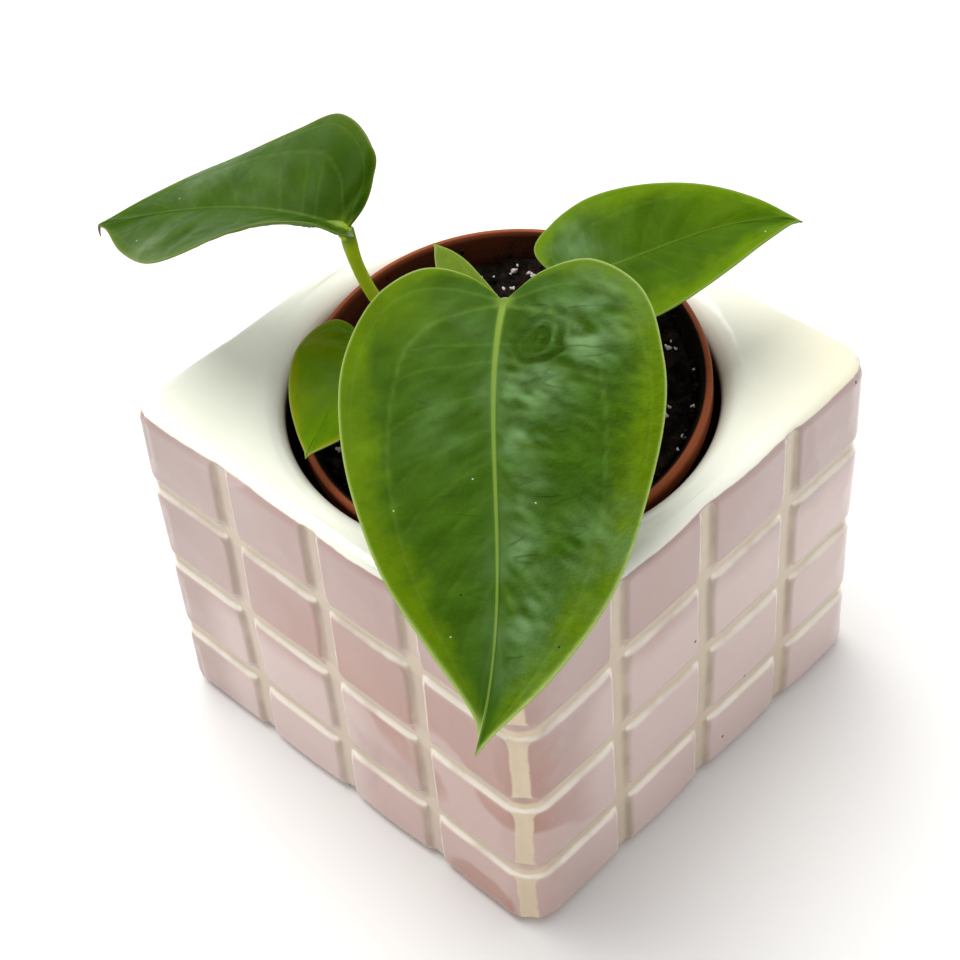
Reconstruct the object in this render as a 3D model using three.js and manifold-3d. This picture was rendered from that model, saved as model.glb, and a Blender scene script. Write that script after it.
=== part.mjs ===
// A young king anthurium in its nursery pot, standing in a square tiled ceramic cover pot.
// Millimetres, Z up. The origin is the centre of the cover pot's flat underside.

import * as THREE from "three";
import { mergeVertices } from "three/addons/utils/BufferGeometryUtils.js";
import Module from "manifold-3d";

const wasm = await Module();
wasm.setup();

// Driving dimensions

const GAP = 0.3; // clearance between pieces that touch in life

const COVER = {
  width: 90,
  height: 72,
  cornerRadii: [6, 6.2, 6, 4], // uneven, as cast: near, right, back and left corners
  topRadius: 2.4,
  footRadius: 3,
  cornerFoot: 1.5, // how much more the foot is drawn in at the corners
  floor: 6.5,
  wall: 5.5,
  shelf: 6, // thickness of the top round the mouth
  mouthRadius: 36.7,
  lipWidth: 5, // the lip rolls down over this width
  lipDrop: 4, // and this height
  innerCorner: 7,
  innerRound: 4,
};

const TILES = {
  pitch: 21.65, // from groove to groove along a side
  sideShift: [-0.85, 0.4, 0, 0], // how far each side's upright grooves sit off its middle
  rowLines: [16.1, 34.7, 53.9], // heights of the level grooves
  grooveDepth: 0.95,
  upright: { floor: 1, edge: 2.45 }, // half widths at a groove's floor and at the tile face
  level: { floor: 0.5, edge: 2.25 },
  corner: { floor: 1, edge: 1.75 },
  cornerTurn: [36.5, 45, 45, 45], // degrees round each corner where its upright groove runs
  cornerShare: { level: 0.75, upright: 0.55 }, // how deep the grooves are at a corner
};

const NURSERY = {
  rimRadius: 35,
  height: 62,
  footRadius: 23.5,
  wall: 1.2,
  floor: 2.4,
  rimBand: 1.8,
  skirt: 4.5,
  taperTop: 32.8, // outer radius of the wall just under the rim
  holeRadius: 2.6,
  holeCircle: 13,
  rimCentre: new THREE.Vector3(0.35, 0, 72),
  leanX: 3, // degrees that the pot's axis leans to +X
  leanY: -7.9, // and to +Y
};

const SOIL = {
  underRim: 6,
  lump: 0.45, // height of the soft unevenness
  rings: 7,
  sectors: 32,
  grains: 44,
  clear: 7, // bare soil round the stem, and inside the pot's wall
  clearEdge: 3,
  spiral: 2.4, // radians from one grain to the next
  grainSize: [0.55, 1.25],
  seed: 11,
};

const CROWN = {
  foot: 54,
  soilLine: 66,
  top: 71.8,
  radius: 4.4,
  scales: [-80, 10, 98], // degrees round the stem where a dry sheath scale stands
  scaleHeight: 9,
  scaleRadius: 2,
  scaleFlatness: 0.45,
  scaleLean: 0.22, // radians that a scale leans in to the stem
  scaleStand: 0.78, // share of the stem's radius at which a scale stands
  room: 5.1, // radius of the hole in the soil that the stem stands in
};

// Each blade's midrib is a cubic curve from the sinus, where the stalk joins, to the tip.
// fold: degrees that each half rises from the midrib, at the base, the middle and the tip.
// curl: how fast each half bends down again, in radians per millimetre, at the same places.
// roll: degrees of twist at the base and the tip.
const LEAVES = {
  front: {
    midrib: [
      [6.5, -4.3, 96],
      [20, -26, 93],
      [42.3, -39.5, 86],
      [51.7, -60.8, 74],
    ],
    roll: [-3.5, 3],
    fold: { right: [8, 7, 5], left: [13, 8, 2] },
    curl: { right: [0.007, 0.007, 0.007], left: [0.01, 0.01, 0.01] },
    lobeRise: 0.013,
    right: [
      [6.7, -4.2],
      [14.5, -4.7],
      [20.8, 1],
      [23.7, 10.6],
      [23.7, 21.3],
      [21.6, 35],
      [16.9, 49.7],
      [9.4, 61.8],
      [1.2, 71.4],
    ],
    left: [
      [5.4, -5.6],
      [13.9, -7.4],
      [22.8, -0.8],
      [26.2, 13.4],
      [25.9, 25.4],
      [22.2, 39.1],
      [17, 51.9],
      [9.3, 63.5],
      [2.4, 72.2],
    ],
    rows: 22,
    columns: 5,
    quilt: 0.28,
    wave: 0.35,
    stalk: { start: -32, radius: 1.3, leave: [0, 0, 16], approach: [1, -0.5, -9] },
  },
  left: {
    midrib: [
      [-22.1, -10.7, 99.7],
      [-38.6, -15.4, 101.8],
      [-51.9, -24, 96.7],
      [-66.4, -27.7, 88.7],
    ],
    drip: 1.6,
    roll: [3, 9.7],
    fold: { right: [58, 8, 9], left: [44, 20, -14.5] },
    curl: { right: [0, 0.029, 0.021], left: [-0.004, 0.013, 0.02] },
    lobeRise: 0.004,
    right: [
      [4.9, -1.9],
      [9.5, -2.1],
      [14.2, -0.7],
      [18.2, 7.5],
      [16.9, 14.8],
      [15.5, 23.3],
      [12.1, 32.3],
      [6.5, 40.2],
      [1.6, 47.6],
    ],
    left: [
      [4.7, -3.2],
      [10.3, -4.2],
      [15.3, -0.4],
      [17.9, 7.3],
      [18.1, 15.1],
      [15.7, 24],
      [12.4, 33.1],
      [7.2, 41.6],
      [1.8, 47.6],
    ],
    rows: 18,
    columns: 5,
    quilt: 0.22,
    wave: 0.2,
    stalk: {
      start: 175,
      radius: 1.2,
      leave: [-9.5, -4, 2.4],
      approach: [-3, 2.9, -19.3],
    },
  },
  right: {
    midrib: [
      [5.4, 11.2, 89.7],
      [13.1, 22.1, 90.4],
      [19.1, 33.6, 97.4],
      [28.1, 44.1, 92.6],
    ],
    roll: [-3.6, 2.4],
    fold: { right: [10.5, 4, 10], left: [5.5, 17, 3.5] },
    curl: { right: [0.009, 0.014, 0.009], left: [0.01, 0.004, 0.011] },
    lobeRise: -0.003,
    right: heartHalf(14.1, 40.6, 3.2, 0.2),
    left: heartHalf(14, 40.6, 3.5, 0.2),
    rows: 16,
    columns: 5,
    quilt: 0.22,
    wave: 0.3,
    stalk: { start: 42, radius: 1.15, leave: [0, 0, 10], approach: [0.4, -0.6, -8] },
  },
  small: {
    midrib: [
      [-19.6, -13, 80],
      [-15.7, -20.7, 79.5],
      [-12.2, -28.3, 76.9],
      [-9.1, -36.3, 75.5],
    ],
    roll: [-4, 3],
    fold: { right: [4, 5.5, -3], left: [11, -2, -3] },
    curl: { right: [0.011, 0.009, 0.011], left: [0.01, 0.011, 0.01] },
    lobeRise: 0,
    right: heartHalf(9.3, 26, 2.5, 0.2),
    left: heartHalf(9.1, 26, 2.2, 0.2),
    rows: 12,
    columns: 4,
    quilt: 0.16,
    wave: 0.25,
    stalk: { start: -100, radius: 0.85, leave: [0, 0, 5], approach: [4.5, 4, -4.5] },
  },
  young: {
    midrib: [
      [-6.6, 2.8, 77],
      [-13.6, 5.7, 79],
      [-19.9, 10.6, 79.2],
      [-27.6, 12.6, 79],
    ],
    roll: [2, 1],
    fold: { right: [25, 22, 10], left: [25, 20, 10] },
    curl: { right: [0.01, 0.01, 0.01], left: [0.01, 0.01, 0.01] },
    lobeRise: 0,
    right: heartHalf(5.4, 23.4, 1.8, -0.9),
    left: heartHalf(5.3, 23.4, 1.8, -0.7),
    rows: 10,
    columns: 3,
    quilt: 0.1,
    wave: 0.15,
    stalk: {
      start: 112,
      radius: 0.75,
      leave: [0, 0, 3.5],
      approach: [1.6, -0.6, -3.5],
    },
  },
};

const BLADE = {
  thickness: 0.8,
  veinSweep: 2.2, // how far the side veins crowd to the base of the midrib
  veinBow: 1.35, // how much they bend forward to the margin
  keelWidth: 1.3, // half width of the midrib's ridge underneath
  keelDepth: 0.9,
  edgeWaves: 14, // radians of waving from the base to the tip
};

const STALK = {
  circle: 2.6, // radius of the ring of sockets in the crown
  footLevel: 0.9, // height of the sockets above the soil line
  sides: 8,
  steps: 11,
  slim: 0.92, // share of the stalk's radius between its sheath and its knuckle
  sheath: 0.22, // how much thicker it is at the sheath
  sheathFade: 8,
  knuckle: 0.16, // how much thicker it is at the knuckle under the blade
  knucklePlace: 0.93,
  knuckleSpread: 0.07,
};

const ROUNDING = 0.3; // where the one point between the ends of a rounded edge lies

const COLOURS = {
  tile: 0xd8b9ae,
  plastic: 0x7a3f24,
  soil: 0x17100b,
  crown: 0x7d6a3a,
  stalk: 0x8aa02a,
  blade: 0x3f6d1f,
  paleBlade: 0x6f9438,
};

// Small helpers

// Numbers in 0..1 that come out the same every time.
function seeded(seed) {
  let state = seed;
  return () => {
    state = (state * 1664525 + 1013904223) % 4294967296;
    return state / 4294967296;
  };
}

// A value that passes through its amounts at the base, the middle and the tip.
function along([base, middle, tip], t) {
  const s = THREE.MathUtils.clamp(t, 0, 1);
  const handle = 2 * middle - 0.5 * (base + tip);
  return (1 - s) ** 2 * base + 2 * s * (1 - s) * handle + s * s * tip;
}

// One half of a heart-shaped outline: half width, length, depth of the lobe and fullness in front.
function heartHalf(width, length, lobe, fullness) {
  const back = [
    [0.27, 0.8],
    [0.6, 1],
  ];
  const ahead = [
    [0.89, 0],
    [1, 0.15],
    [0.98, 0.3],
    [0.86, 0.48],
    [0.66, 0.66],
    [0.36, 0.83],
    [0.08, 0.95],
  ];
  return [
    ...back.map(([x, y]) => [x * width, -y * lobe]),
    ...ahead.map(([x, y]) => [
      x * width + fullness * Math.sin(Math.PI * y) ** 2,
      y * length,
    ]),
  ];
}

function toSolid(geometry) {
  const bare = geometry.clone();
  bare.deleteAttribute("normal");
  bare.deleteAttribute("uv");
  const merged = mergeVertices(bare, 1e-4);
  return new wasm.Manifold(
    new wasm.Mesh({
      numProp: 3,
      vertProperties: merged.attributes.position.array,
      triVerts: new Uint32Array(merged.index.array),
    }),
  );
}

// The largest body of a solid, as a geometry: cutting can leave scraps.
function toGeometry(solid) {
  const bodies = solid.decompose();
  bodies.sort((a, b) => b.volume() - a.volume());
  const mesh = bodies[0].getMesh();
  const geometry = new THREE.BufferGeometry();
  geometry.setAttribute(
    "position",
    new THREE.BufferAttribute(mesh.vertProperties, 3),
  );
  geometry.setIndex(new THREE.BufferAttribute(mesh.triVerts, 1));
  return geometry;
}

function indexed(points, triangles) {
  const geometry = new THREE.BufferGeometry();
  geometry.setAttribute(
    "position",
    new THREE.Float32BufferAttribute(
      points.flatMap((p) => [p.x, p.y, p.z]),
      3,
    ),
  );
  geometry.setIndex(triangles);
  return geometry;
}

// A lathe turned so that its axis is Z.
function turned(profile, segments) {
  const points = profile.map(([r, z]) => new THREE.Vector2(r, z));
  return new THREE.LatheGeometry(points, segments).rotateX(Math.PI / 2);
}

// Closed skin over a stack of loops that all have the same number of points.
// Each four-cornered patch folds along its longer diagonal, which mitres the tiles' corners.
function skin(loops) {
  const count = loops[0].length;
  const points = loops.flat();
  const triangles = [];
  for (let k = 0; k + 1 < loops.length; k++) {
    for (let i = 0; i < count; i++) {
      const a = k * count + i;
      const b = k * count + ((i + 1) % count);
      const c = b + count;
      const d = a + count;
      const rising = points[a].distanceTo(points[c]);
      const falling = points[b].distanceTo(points[d]);
      if (rising > falling) triangles.push(a, b, c, a, c, d);
      else triangles.push(a, b, d, b, c, d);
    }
  }
  const cap = (start, up) => {
    const centre = points.length;
    const z = points[start].z;
    points.push(new THREE.Vector3(0, 0, z));
    for (let i = 0; i < count; i++) {
      const a = start + i;
      const b = start + ((i + 1) % count);
      triangles.push(...(up ? [a, b, centre] : [b, a, centre]));
    }
  };
  cap(0, false);
  cap((loops.length - 1) * count, true);
  return indexed(points, triangles);
}

// Cover pot: the tiled outside, less the hollow inside and the rolled mouth

// Places round the outside, each with how much of an upright groove it has.
function coverStations() {
  const half = COVER.width / 2;
  const { pitch, sideShift, upright, corner, cornerTurn, cornerShare } = TILES;
  const stations = [];
  COVER.cornerRadii.forEach((radius, side, radii) => {
    stations.push({ side, along: radii.at(side - 1) - half, groove: 0 });
    for (const line of [-pitch, 0, pitch]) {
      const centre = line + sideShift[side];
      stations.push({ side, along: centre - upright.edge, groove: 0 });
      stations.push({ side, along: centre - upright.floor, groove: 1 });
      stations.push({ side, along: centre + upright.floor, groove: 1 });
      stations.push({ side, along: centre + upright.edge, groove: 0 });
    }
    stations.push({ side, along: half - radius, groove: 0 });
    for (const offset of [-corner.edge, -corner.floor, corner.floor, corner.edge]) {
      const turn = THREE.MathUtils.degToRad(cornerTurn[side]) + offset / radius;
      const strip = Math.abs(offset) === corner.floor;
      const groove = strip ? cornerShare.upright : 0;
      const crossing = strip ? cornerShare.level : 1;
      stations.push({ side, turn, radius, groove, crossing });
    }
  });
  return stations;
}

// A point of the outside at a station, drawn in by inset.
function coverPoint({ side, along: u, turn, radius }, inset, z) {
  const half = COVER.width / 2;
  const point = new THREE.Vector3(u, inset - half, z);
  if (turn !== undefined) {
    const middle = half - radius;
    const arm = radius - inset;
    point.set(middle + arm * Math.sin(turn), -middle - arm * Math.cos(turn), z);
  }
  return point.applyAxisAngle(new THREE.Vector3(0, 0, 1), (side * Math.PI) / 2);
}

// Heights of the outside: z, how far the edge is drawn in, level groove and upright groove shares.
function coverLevels() {
  const { height, topRadius, footRadius } = COVER;
  const footMiddle = ROUNDING * footRadius;
  const topMiddle = ROUNDING * topRadius;
  const levels = [
    { z: 0, inset: footRadius, level: 0, upright: 0 },
    { z: footMiddle, inset: footMiddle, level: 0, upright: 0.4 },
    { z: footRadius, inset: 0, level: 0, upright: 1 },
  ];
  for (const line of TILES.rowLines) {
    const { floor, edge } = TILES.level;
    levels.push({ z: line - edge, inset: 0, level: 0, upright: 1 });
    levels.push({ z: line - floor, inset: 0, level: 1, upright: 1 });
    levels.push({ z: line + floor, inset: 0, level: 1, upright: 1 });
    levels.push({ z: line + edge, inset: 0, level: 0, upright: 1 });
  }
  levels.push({ z: height - topRadius, inset: 0, level: 0, upright: 1 });
  levels.push({ z: height - topMiddle, inset: topMiddle, level: 0, upright: 0.3 });
  levels.push({ z: height, inset: topRadius, level: 0, upright: 0 });
  return levels;
}

function coverOutside() {
  const stations = coverStations();
  const loops = coverLevels().map(({ z, inset, level, upright }) =>
    stations.map((station) => {
      const crossing = level * (station.crossing ?? 1);
      const sunk = Math.max(crossing, upright * station.groove);
      const foot = station.radius && z < COVER.footRadius;
      const most = foot ? (1 - ROUNDING) * station.radius : inset;
      const drawn = foot ? Math.min(inset * COVER.cornerFoot, most) : inset;
      return coverPoint(station, drawn + TILES.grooveDepth * sunk, z);
    }),
  );
  return skin(loops);
}

function coverHollow() {
  const half = COVER.width / 2 - COVER.wall;
  const round = COVER.innerRound;
  const r = COVER.innerCorner;
  const shape = new THREE.Shape();
  shape.moveTo(-half + r, -half);
  shape.absarc(half - r, -half + r, r, -Math.PI / 2, 0);
  shape.absarc(half - r, half - r, r, 0, Math.PI / 2);
  shape.absarc(-half + r, half - r, r, Math.PI / 2, Math.PI);
  shape.absarc(-half + r, -half + r, r, Math.PI, 1.5 * Math.PI);
  const tall = COVER.height - COVER.shelf - COVER.floor;
  return new THREE.ExtrudeGeometry(shape, {
    depth: tall - 2 * round,
    curveSegments: 4,
    bevelThickness: round,
    bevelSize: round,
    bevelOffset: -round,
    bevelSegments: 2,
  }).translate(0, 0, COVER.floor + round);
}

function coverMouth() {
  const { height, mouthRadius, lipWidth, lipDrop, shelf } = COVER;
  const lip = [0, 30, 60, 90].map((degrees) => {
    const turn = THREE.MathUtils.degToRad(degrees);
    return [
      mouthRadius + lipWidth * (1 - Math.cos(turn)),
      height - lipDrop * (1 - Math.sin(turn)),
    ];
  });
  const below = height - 2 * shelf;
  const above = height + shelf;
  return turned(
    [
      [0, below],
      [mouthRadius, below],
      ...lip,
      [mouthRadius + lipWidth, above],
      [0, above],
    ],
    56,
  );
}

function coverPot() {
  const outside = toSolid(coverOutside());
  const inside = toSolid(coverHollow()).add(toSolid(coverMouth()));
  return toGeometry(outside.subtract(inside));
}

// Nursery pot: a thin tapered pot with a banded rim and four drain holes, leaning in the cover pot

const potFrame = new THREE.Group();
const potAxis = new THREE.Vector3(
  Math.tan(THREE.MathUtils.degToRad(NURSERY.leanX)),
  Math.tan(THREE.MathUtils.degToRad(NURSERY.leanY)),
  1,
).normalize();
potFrame.quaternion.setFromUnitVectors(new THREE.Vector3(0, 0, 1), potAxis);
potFrame.position
  .copy(NURSERY.rimCentre)
  .addScaledVector(potAxis, -NURSERY.height);
potFrame.updateMatrixWorld(true);

// Inner radius of the nursery pot's wall at a height above its foot.
function innerRadius(height) {
  const { footRadius, wall, taperTop } = NURSERY;
  const top = NURSERY.height - NURSERY.skirt;
  return footRadius - wall + ((taperTop - footRadius) * height) / top;
}

function nurseryPot() {
  const { rimRadius, height, footRadius, wall, floor, rimBand, skirt } = NURSERY;
  const under = height - skirt;
  const wallTop = NURSERY.taperTop;
  const body = toSolid(
    turned(
      [
        [0, 1],
        [footRadius - 5, 1],
        [footRadius - 3.5, 0],
        [footRadius - 0.6, 0],
        [footRadius, 0.8],
        [wallTop, under - 0.6],
        [rimRadius - 0.5, under],
        [rimRadius, under + 0.6],
        [rimRadius, height - 0.5],
        [rimRadius - 0.5, height],
        [rimRadius - rimBand + 0.3, height],
        [rimRadius - rimBand, height - 0.5],
        [wallTop - wall, under],
        [innerRadius(floor + 1), floor + 1],
        [footRadius - wall - 1, floor],
        [0, floor],
      ],
      44,
    ),
  );
  const hole = new THREE.CylinderGeometry(
    NURSERY.holeRadius,
    NURSERY.holeRadius,
    8,
    8,
  );
  hole.rotateX(Math.PI / 2);
  let drained = body;
  for (let k = 0; k < 4; k++) {
    const angle = (k * Math.PI) / 2 + Math.PI / 4;
    const x = NURSERY.holeCircle * Math.cos(angle);
    const y = NURSERY.holeCircle * Math.sin(angle);
    drained = drained.subtract(toSolid(hole.clone().translate(x, y, 1)));
  }
  return toGeometry(drained);
}

// Crown: the short stem, with dry sheath scales at its foot

function crown() {
  const { foot, soilLine, top, radius } = CROWN;
  let body = toSolid(
    turned(
      [
        [0, foot],
        [0.5 * radius, foot + 0.8],
        [0.8 * radius, foot + 4],
        [0.98 * radius, soilLine - 2],
        [1.06 * radius, soilLine + 0.4],
        [0.94 * radius, soilLine + 1.1],
        [0.98 * radius, soilLine + 2.2],
        [0.82 * radius, soilLine + 3.2],
        [0.5 * radius, top - 0.8],
        [0, top],
      ],
      12,
    ),
  );
  for (const degrees of CROWN.scales) {
    const turn = THREE.MathUtils.degToRad(degrees);
    const scale = new THREE.ConeGeometry(CROWN.scaleRadius, CROWN.scaleHeight, 7);
    scale.scale(1, 1, CROWN.scaleFlatness);
    scale.rotateX(Math.PI / 2);
    scale.translate(0, 0, 0.5 * CROWN.scaleHeight);
    scale.rotateX(-CROWN.scaleLean);
    scale.translate(0, CROWN.scaleStand * radius, soilLine - 0.6);
    scale.rotateZ(turn - Math.PI / 2);
    body = body.add(toSolid(scale));
  }
  return body;
}

// Soil: a lumpy top with bark and perlite grains, filling the pot down to its floor

function soilSurface(x, y) {
  const slow = Math.sin(0.42 * x + 1.3) * Math.cos(0.37 * y - 0.4);
  const quick = Math.sin(0.9 * x - 0.7 * y + 2) * Math.cos(0.8 * y + 0.5 * x);
  return SOIL.lump * (slow + 0.8 * quick);
}

function soilBody() {
  const level = NURSERY.height - SOIL.underRim;
  const edge = innerRadius(level) - GAP;
  const loops = [];
  const ring = (radius, z) =>
    Array.from({ length: SOIL.sectors }, (_, i) => {
      const angle = (i * 2 * Math.PI) / SOIL.sectors;
      const x = radius * Math.cos(angle);
      const y = radius * Math.sin(angle);
      return new THREE.Vector3(x, y, z ?? level + soilSurface(x, y));
    });
  const bottom = NURSERY.floor + GAP;
  loops.push(ring(innerRadius(bottom) - 2.2, bottom));
  loops.push(ring(innerRadius(bottom + 1.4) - GAP, bottom + 1.4));
  loops.push(ring(edge - 0.1, level - 0.8));
  for (let k = SOIL.rings; k > 0; k--) {
    loops.push(ring((edge * (k - 0.08)) / SOIL.rings));
  }
  const body = skin(loops);
  return toSolid(body.applyMatrix4(potFrame.matrixWorld));
}

function soilGrains() {
  const random = seeded(SOIL.seed);
  const level = NURSERY.height - SOIL.underRim;
  const reach = innerRadius(level) - SOIL.clearEdge;
  const [small, large] = SOIL.grainSize;
  const grains = [];
  for (let k = 0; k < SOIL.grains; k++) {
    const share = Math.sqrt((k + random()) / SOIL.grains);
    const radius = SOIL.clear + (reach - SOIL.clear) * share;
    const angle = k * SOIL.spiral + 0.5 * random();
    const size = small + (large - small) * random() ** 2;
    const x = radius * Math.cos(angle);
    const y = radius * Math.sin(angle);
    const grain = new THREE.IcosahedronGeometry(size, 0);
    grain.scale(1, 0.75 + 0.3 * random(), 0.7 + 0.3 * random());
    grain.rotateX(3 * random());
    grain.rotateZ(3 * random());
    grain.translate(x, y, level + soilSurface(x, y) + 0.1 * size);
    grains.push(toSolid(grain.applyMatrix4(potFrame.matrixWorld)));
  }
  return grains;
}

// Blade surface

// The smooth surface of a blade at a distance across and along it, and its normal.
class BladeSurface {
  constructor(leaf) {
    this.leaf = leaf;
    this.curve = new THREE.CubicBezierCurve3(
      ...leaf.midrib.map((p) => new THREE.Vector3(...p)),
    );
    this.length = this.curve.getLength();
    this.reach = this.length + (leaf.drip ?? 0);
    this.outline = {};
    for (const side of ["right", "left"]) {
      const points = [[0, 0], ...leaf[side], [0, this.reach]];
      this.outline[side] = new THREE.SplineCurve(
        points.map(([x, y]) => new THREE.Vector2(x, y)),
      );
    }
  }

  // Midrib point, direction, side axis and upward axis at a distance along the blade.
  frame(y) {
    const t = THREE.MathUtils.clamp(y / this.length, 0, 1);
    const origin = this.curve.getPoint(t);
    const ahead = this.curve.getTangent(THREE.MathUtils.clamp(t, 0.001, 0.999));
    const beyond = Math.min(y, 0) + Math.max(y - this.length, 0);
    origin.addScaledVector(ahead, beyond);
    const side = new THREE.Vector3(0, 0, 1).cross(ahead).negate().normalize();
    const up = side.clone().cross(ahead);
    const [base, tip] = this.leaf.roll;
    const roll = base + (tip - base) * THREE.MathUtils.smoothstep(t, 0, 1);
    const turn = THREE.MathUtils.degToRad(roll);
    side.applyAxisAngle(ahead, -turn);
    up.applyAxisAngle(ahead, -turn);
    return { origin, side, up };
  }

  point(side, x, y) {
    const { origin, side: across, up } = this.frame(y);
    const t = y / this.length;
    const angle = THREE.MathUtils.degToRad(along(this.leaf.fold[side], t));
    const bend = along(this.leaf.curl[side], t);
    const curl = Math.abs(bend) < 1e-5 ? 1e-5 : bend;
    const out = (Math.sin(angle) - Math.sin(angle - curl * x)) / curl;
    const lobe = this.leaf.lobeRise * Math.min(y, 0) ** 2;
    const rise = (Math.cos(angle - curl * x) - Math.cos(angle)) / curl + lobe;
    const sign = side === "right" ? 1 : -1;
    return origin
      .addScaledVector(across, sign * out)
      .addScaledVector(up, rise);
  }

  normal(side, x, y) {
    const step = 0.05;
    const sign = side === "right" ? 1 : -1;
    const here = this.point(side, x, y);
    const across = this.point(side, x + step, y).sub(here);
    const ahead = this.point(side, x, y + step).sub(here);
    return across.cross(ahead).multiplyScalar(sign).normalize();
  }

  // Distance across and along for a row that follows a side vein, and a share of the way out.
  flat(side, row, out) {
    const end = this.outline[side].getPoint(row);
    const start = this.reach * row ** BLADE.veinSweep;
    return [end.x * out, start + (end.y - start) * out ** BLADE.veinBow];
  }
}

// A blade of even thickness with quilting between its side veins, waves and a keel underneath
function bladeGeometry(leaf) {
  const surface = new BladeSurface(leaf);
  const { rows, columns } = leaf;
  const top = [];
  const bottom = [];
  const index = new Map();
  const vertex = (side, i, j) => {
    const end = i === 0 || i === rows;
    const key = end ? `end ${i}` : j === 0 ? `rib ${i}` : `${side} ${i} ${j}`;
    if (index.has(key)) return index.get(key);
    const row = i / rows;
    const last = surface.outline[side].getPoint(row).x;
    const keelShare = Math.min(0.3, BLADE.keelWidth / Math.max(last, 0.1));
    const even = keelShare + ((1 - keelShare) * (j - 1)) / (columns - 1);
    const out = j === 0 ? 0 : even;
    const [x, y] = end ? [0, row * surface.reach] : surface.flat(side, row, out);
    const middle = surface.point(side, x, y);
    const normal = surface.normal(side, x, y);
    if (j === 0 || end) {
      const other = side === "right" ? "left" : "right";
      normal.add(surface.normal(other, x, y)).normalize();
    }
    const puff = (i % 2 ? 1 : -1) * Math.sin(Math.PI * out) * Math.min(1, 3 * row);
    const phase = side === "right" ? 0 : 2;
    const ripple = out ** 3 * Math.sin(BLADE.edgeWaves * row + phase);
    const lift = end ? 0 : leaf.quilt * puff + leaf.wave * ripple;
    const keel = j === 0 && !end ? BLADE.keelDepth * (1 - row) ** 0.7 : 0;
    const half = BLADE.thickness / 2;
    top.push(middle.clone().addScaledVector(normal, lift + half));
    bottom.push(middle.clone().addScaledVector(normal, lift - half - keel));
    index.set(key, top.length - 1);
    return top.length - 1;
  };
  const upper = [];
  const rim = [];
  const face = (a, b, c, side) => {
    if (a === b || b === c || a === c) return;
    upper.push(side === "right" ? [a, b, c] : [a, c, b]);
  };
  for (const side of ["right", "left"]) {
    for (let i = 0; i < rows; i++) {
      for (let j = 0; j < columns; j++) {
        const a = vertex(side, i, j);
        const b = vertex(side, i, j + 1);
        const c = vertex(side, i + 1, j + 1);
        const d = vertex(side, i + 1, j);
        face(a, b, c, side);
        face(a, c, d, side);
      }
      const here = vertex(side, i, columns);
      const next = vertex(side, i + 1, columns);
      rim.push(side === "right" ? [here, next] : [next, here]);
    }
  }
  const count = top.length;
  const triangles = [];
  for (const [a, b, c] of upper) {
    triangles.push(a, b, c, a + count, c + count, b + count);
  }
  for (const [a, b] of rim) {
    triangles.push(a, a + count, b, b, a + count, b + count);
  }
  return indexed([...top, ...bottom], triangles);
}

// Stalks

// Route of a stalk from its socket in the crown to the sinus, lengthened at both ends by extra.
function stalkPath(leaf, extra) {
  const { start, leave, approach } = leaf.stalk;
  const turn = THREE.MathUtils.degToRad(start);
  const foot = new THREE.Vector3(
    STALK.circle * Math.cos(turn),
    STALK.circle * Math.sin(turn),
    CROWN.soilLine + STALK.footLevel,
  );
  const sinus = new THREE.Vector3(...leaf.midrib[0]);
  const first = foot.clone().add(new THREE.Vector3(...leave));
  const second = sinus.clone().add(new THREE.Vector3(...approach));
  foot.addScaledVector(first.clone().sub(foot).normalize(), -extra);
  sinus.addScaledVector(sinus.clone().sub(second).normalize(), extra);
  return new THREE.CubicBezierCurve3(foot, first, second, sinus);
}

// A round stalk, thicker at its sheath and at the knuckle under the blade.
function stalkGeometry(leaf, extra) {
  const path = stalkPath(leaf, extra);
  const { sides, steps, knucklePlace, knuckleSpread } = STALK;
  const unit = Array.from({ length: sides }, (_, k) => {
    const angle = (k * 2 * Math.PI) / sides;
    return new THREE.Vector2(Math.cos(angle), Math.sin(angle));
  });
  const tube = new THREE.ExtrudeGeometry(new THREE.Shape(unit), {
    extrudePath: path,
    steps,
  });
  const centres = path.getSpacedPoints(steps);
  const position = tube.attributes.position;
  const point = new THREE.Vector3();
  for (let k = 0; k < position.count; k++) {
    point.fromBufferAttribute(position, k);
    let nearest = 0;
    centres.forEach((centre, i) => {
      const closer = centre.distanceTo(point) < centres[nearest].distanceTo(point);
      if (closer) nearest = i;
    });
    const t = nearest / steps;
    const sheath = STALK.sheath * Math.exp(-STALK.sheathFade * t);
    const near = Math.exp(-(((t - knucklePlace) / knuckleSpread) ** 2));
    const share = STALK.slim + sheath + STALK.knuckle * near;
    const radius = leaf.stalk.radius * share + extra;
    point.sub(centres[nearest]).multiplyScalar(radius).add(centres[nearest]);
    position.setXYZ(k, point.x, point.y, point.z);
  }
  return tube;
}

// Assembly

function piece(name, geometry, color, roughness) {
  geometry.computeVertexNormals();
  const material = new THREE.MeshStandardMaterial({
    color,
    roughness,
    metalness: 0,
  });
  const mesh = new THREE.Mesh(geometry, material);
  mesh.name = name;
  return mesh;
}

const plant = new THREE.Group();
let stem = crown();
for (const [name, leaf] of Object.entries(LEAVES)) {
  const room = toSolid(stalkGeometry(leaf, GAP));
  const blade = toSolid(bladeGeometry(leaf)).subtract(room);
  const color = name === "young" ? COLOURS.paleBlade : COLOURS.blade;
  stem = stem.subtract(room);
  plant.add(piece(`blade_${name}`, toGeometry(blade), color, 0.45));
  const stalk = stalkGeometry(leaf, 0);
  plant.add(piece(`petiole_${name}`, stalk, COLOURS.stalk, 0.5));
}
plant.add(piece("crown_stem", toGeometry(stem), COLOURS.crown, 0.8));

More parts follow.
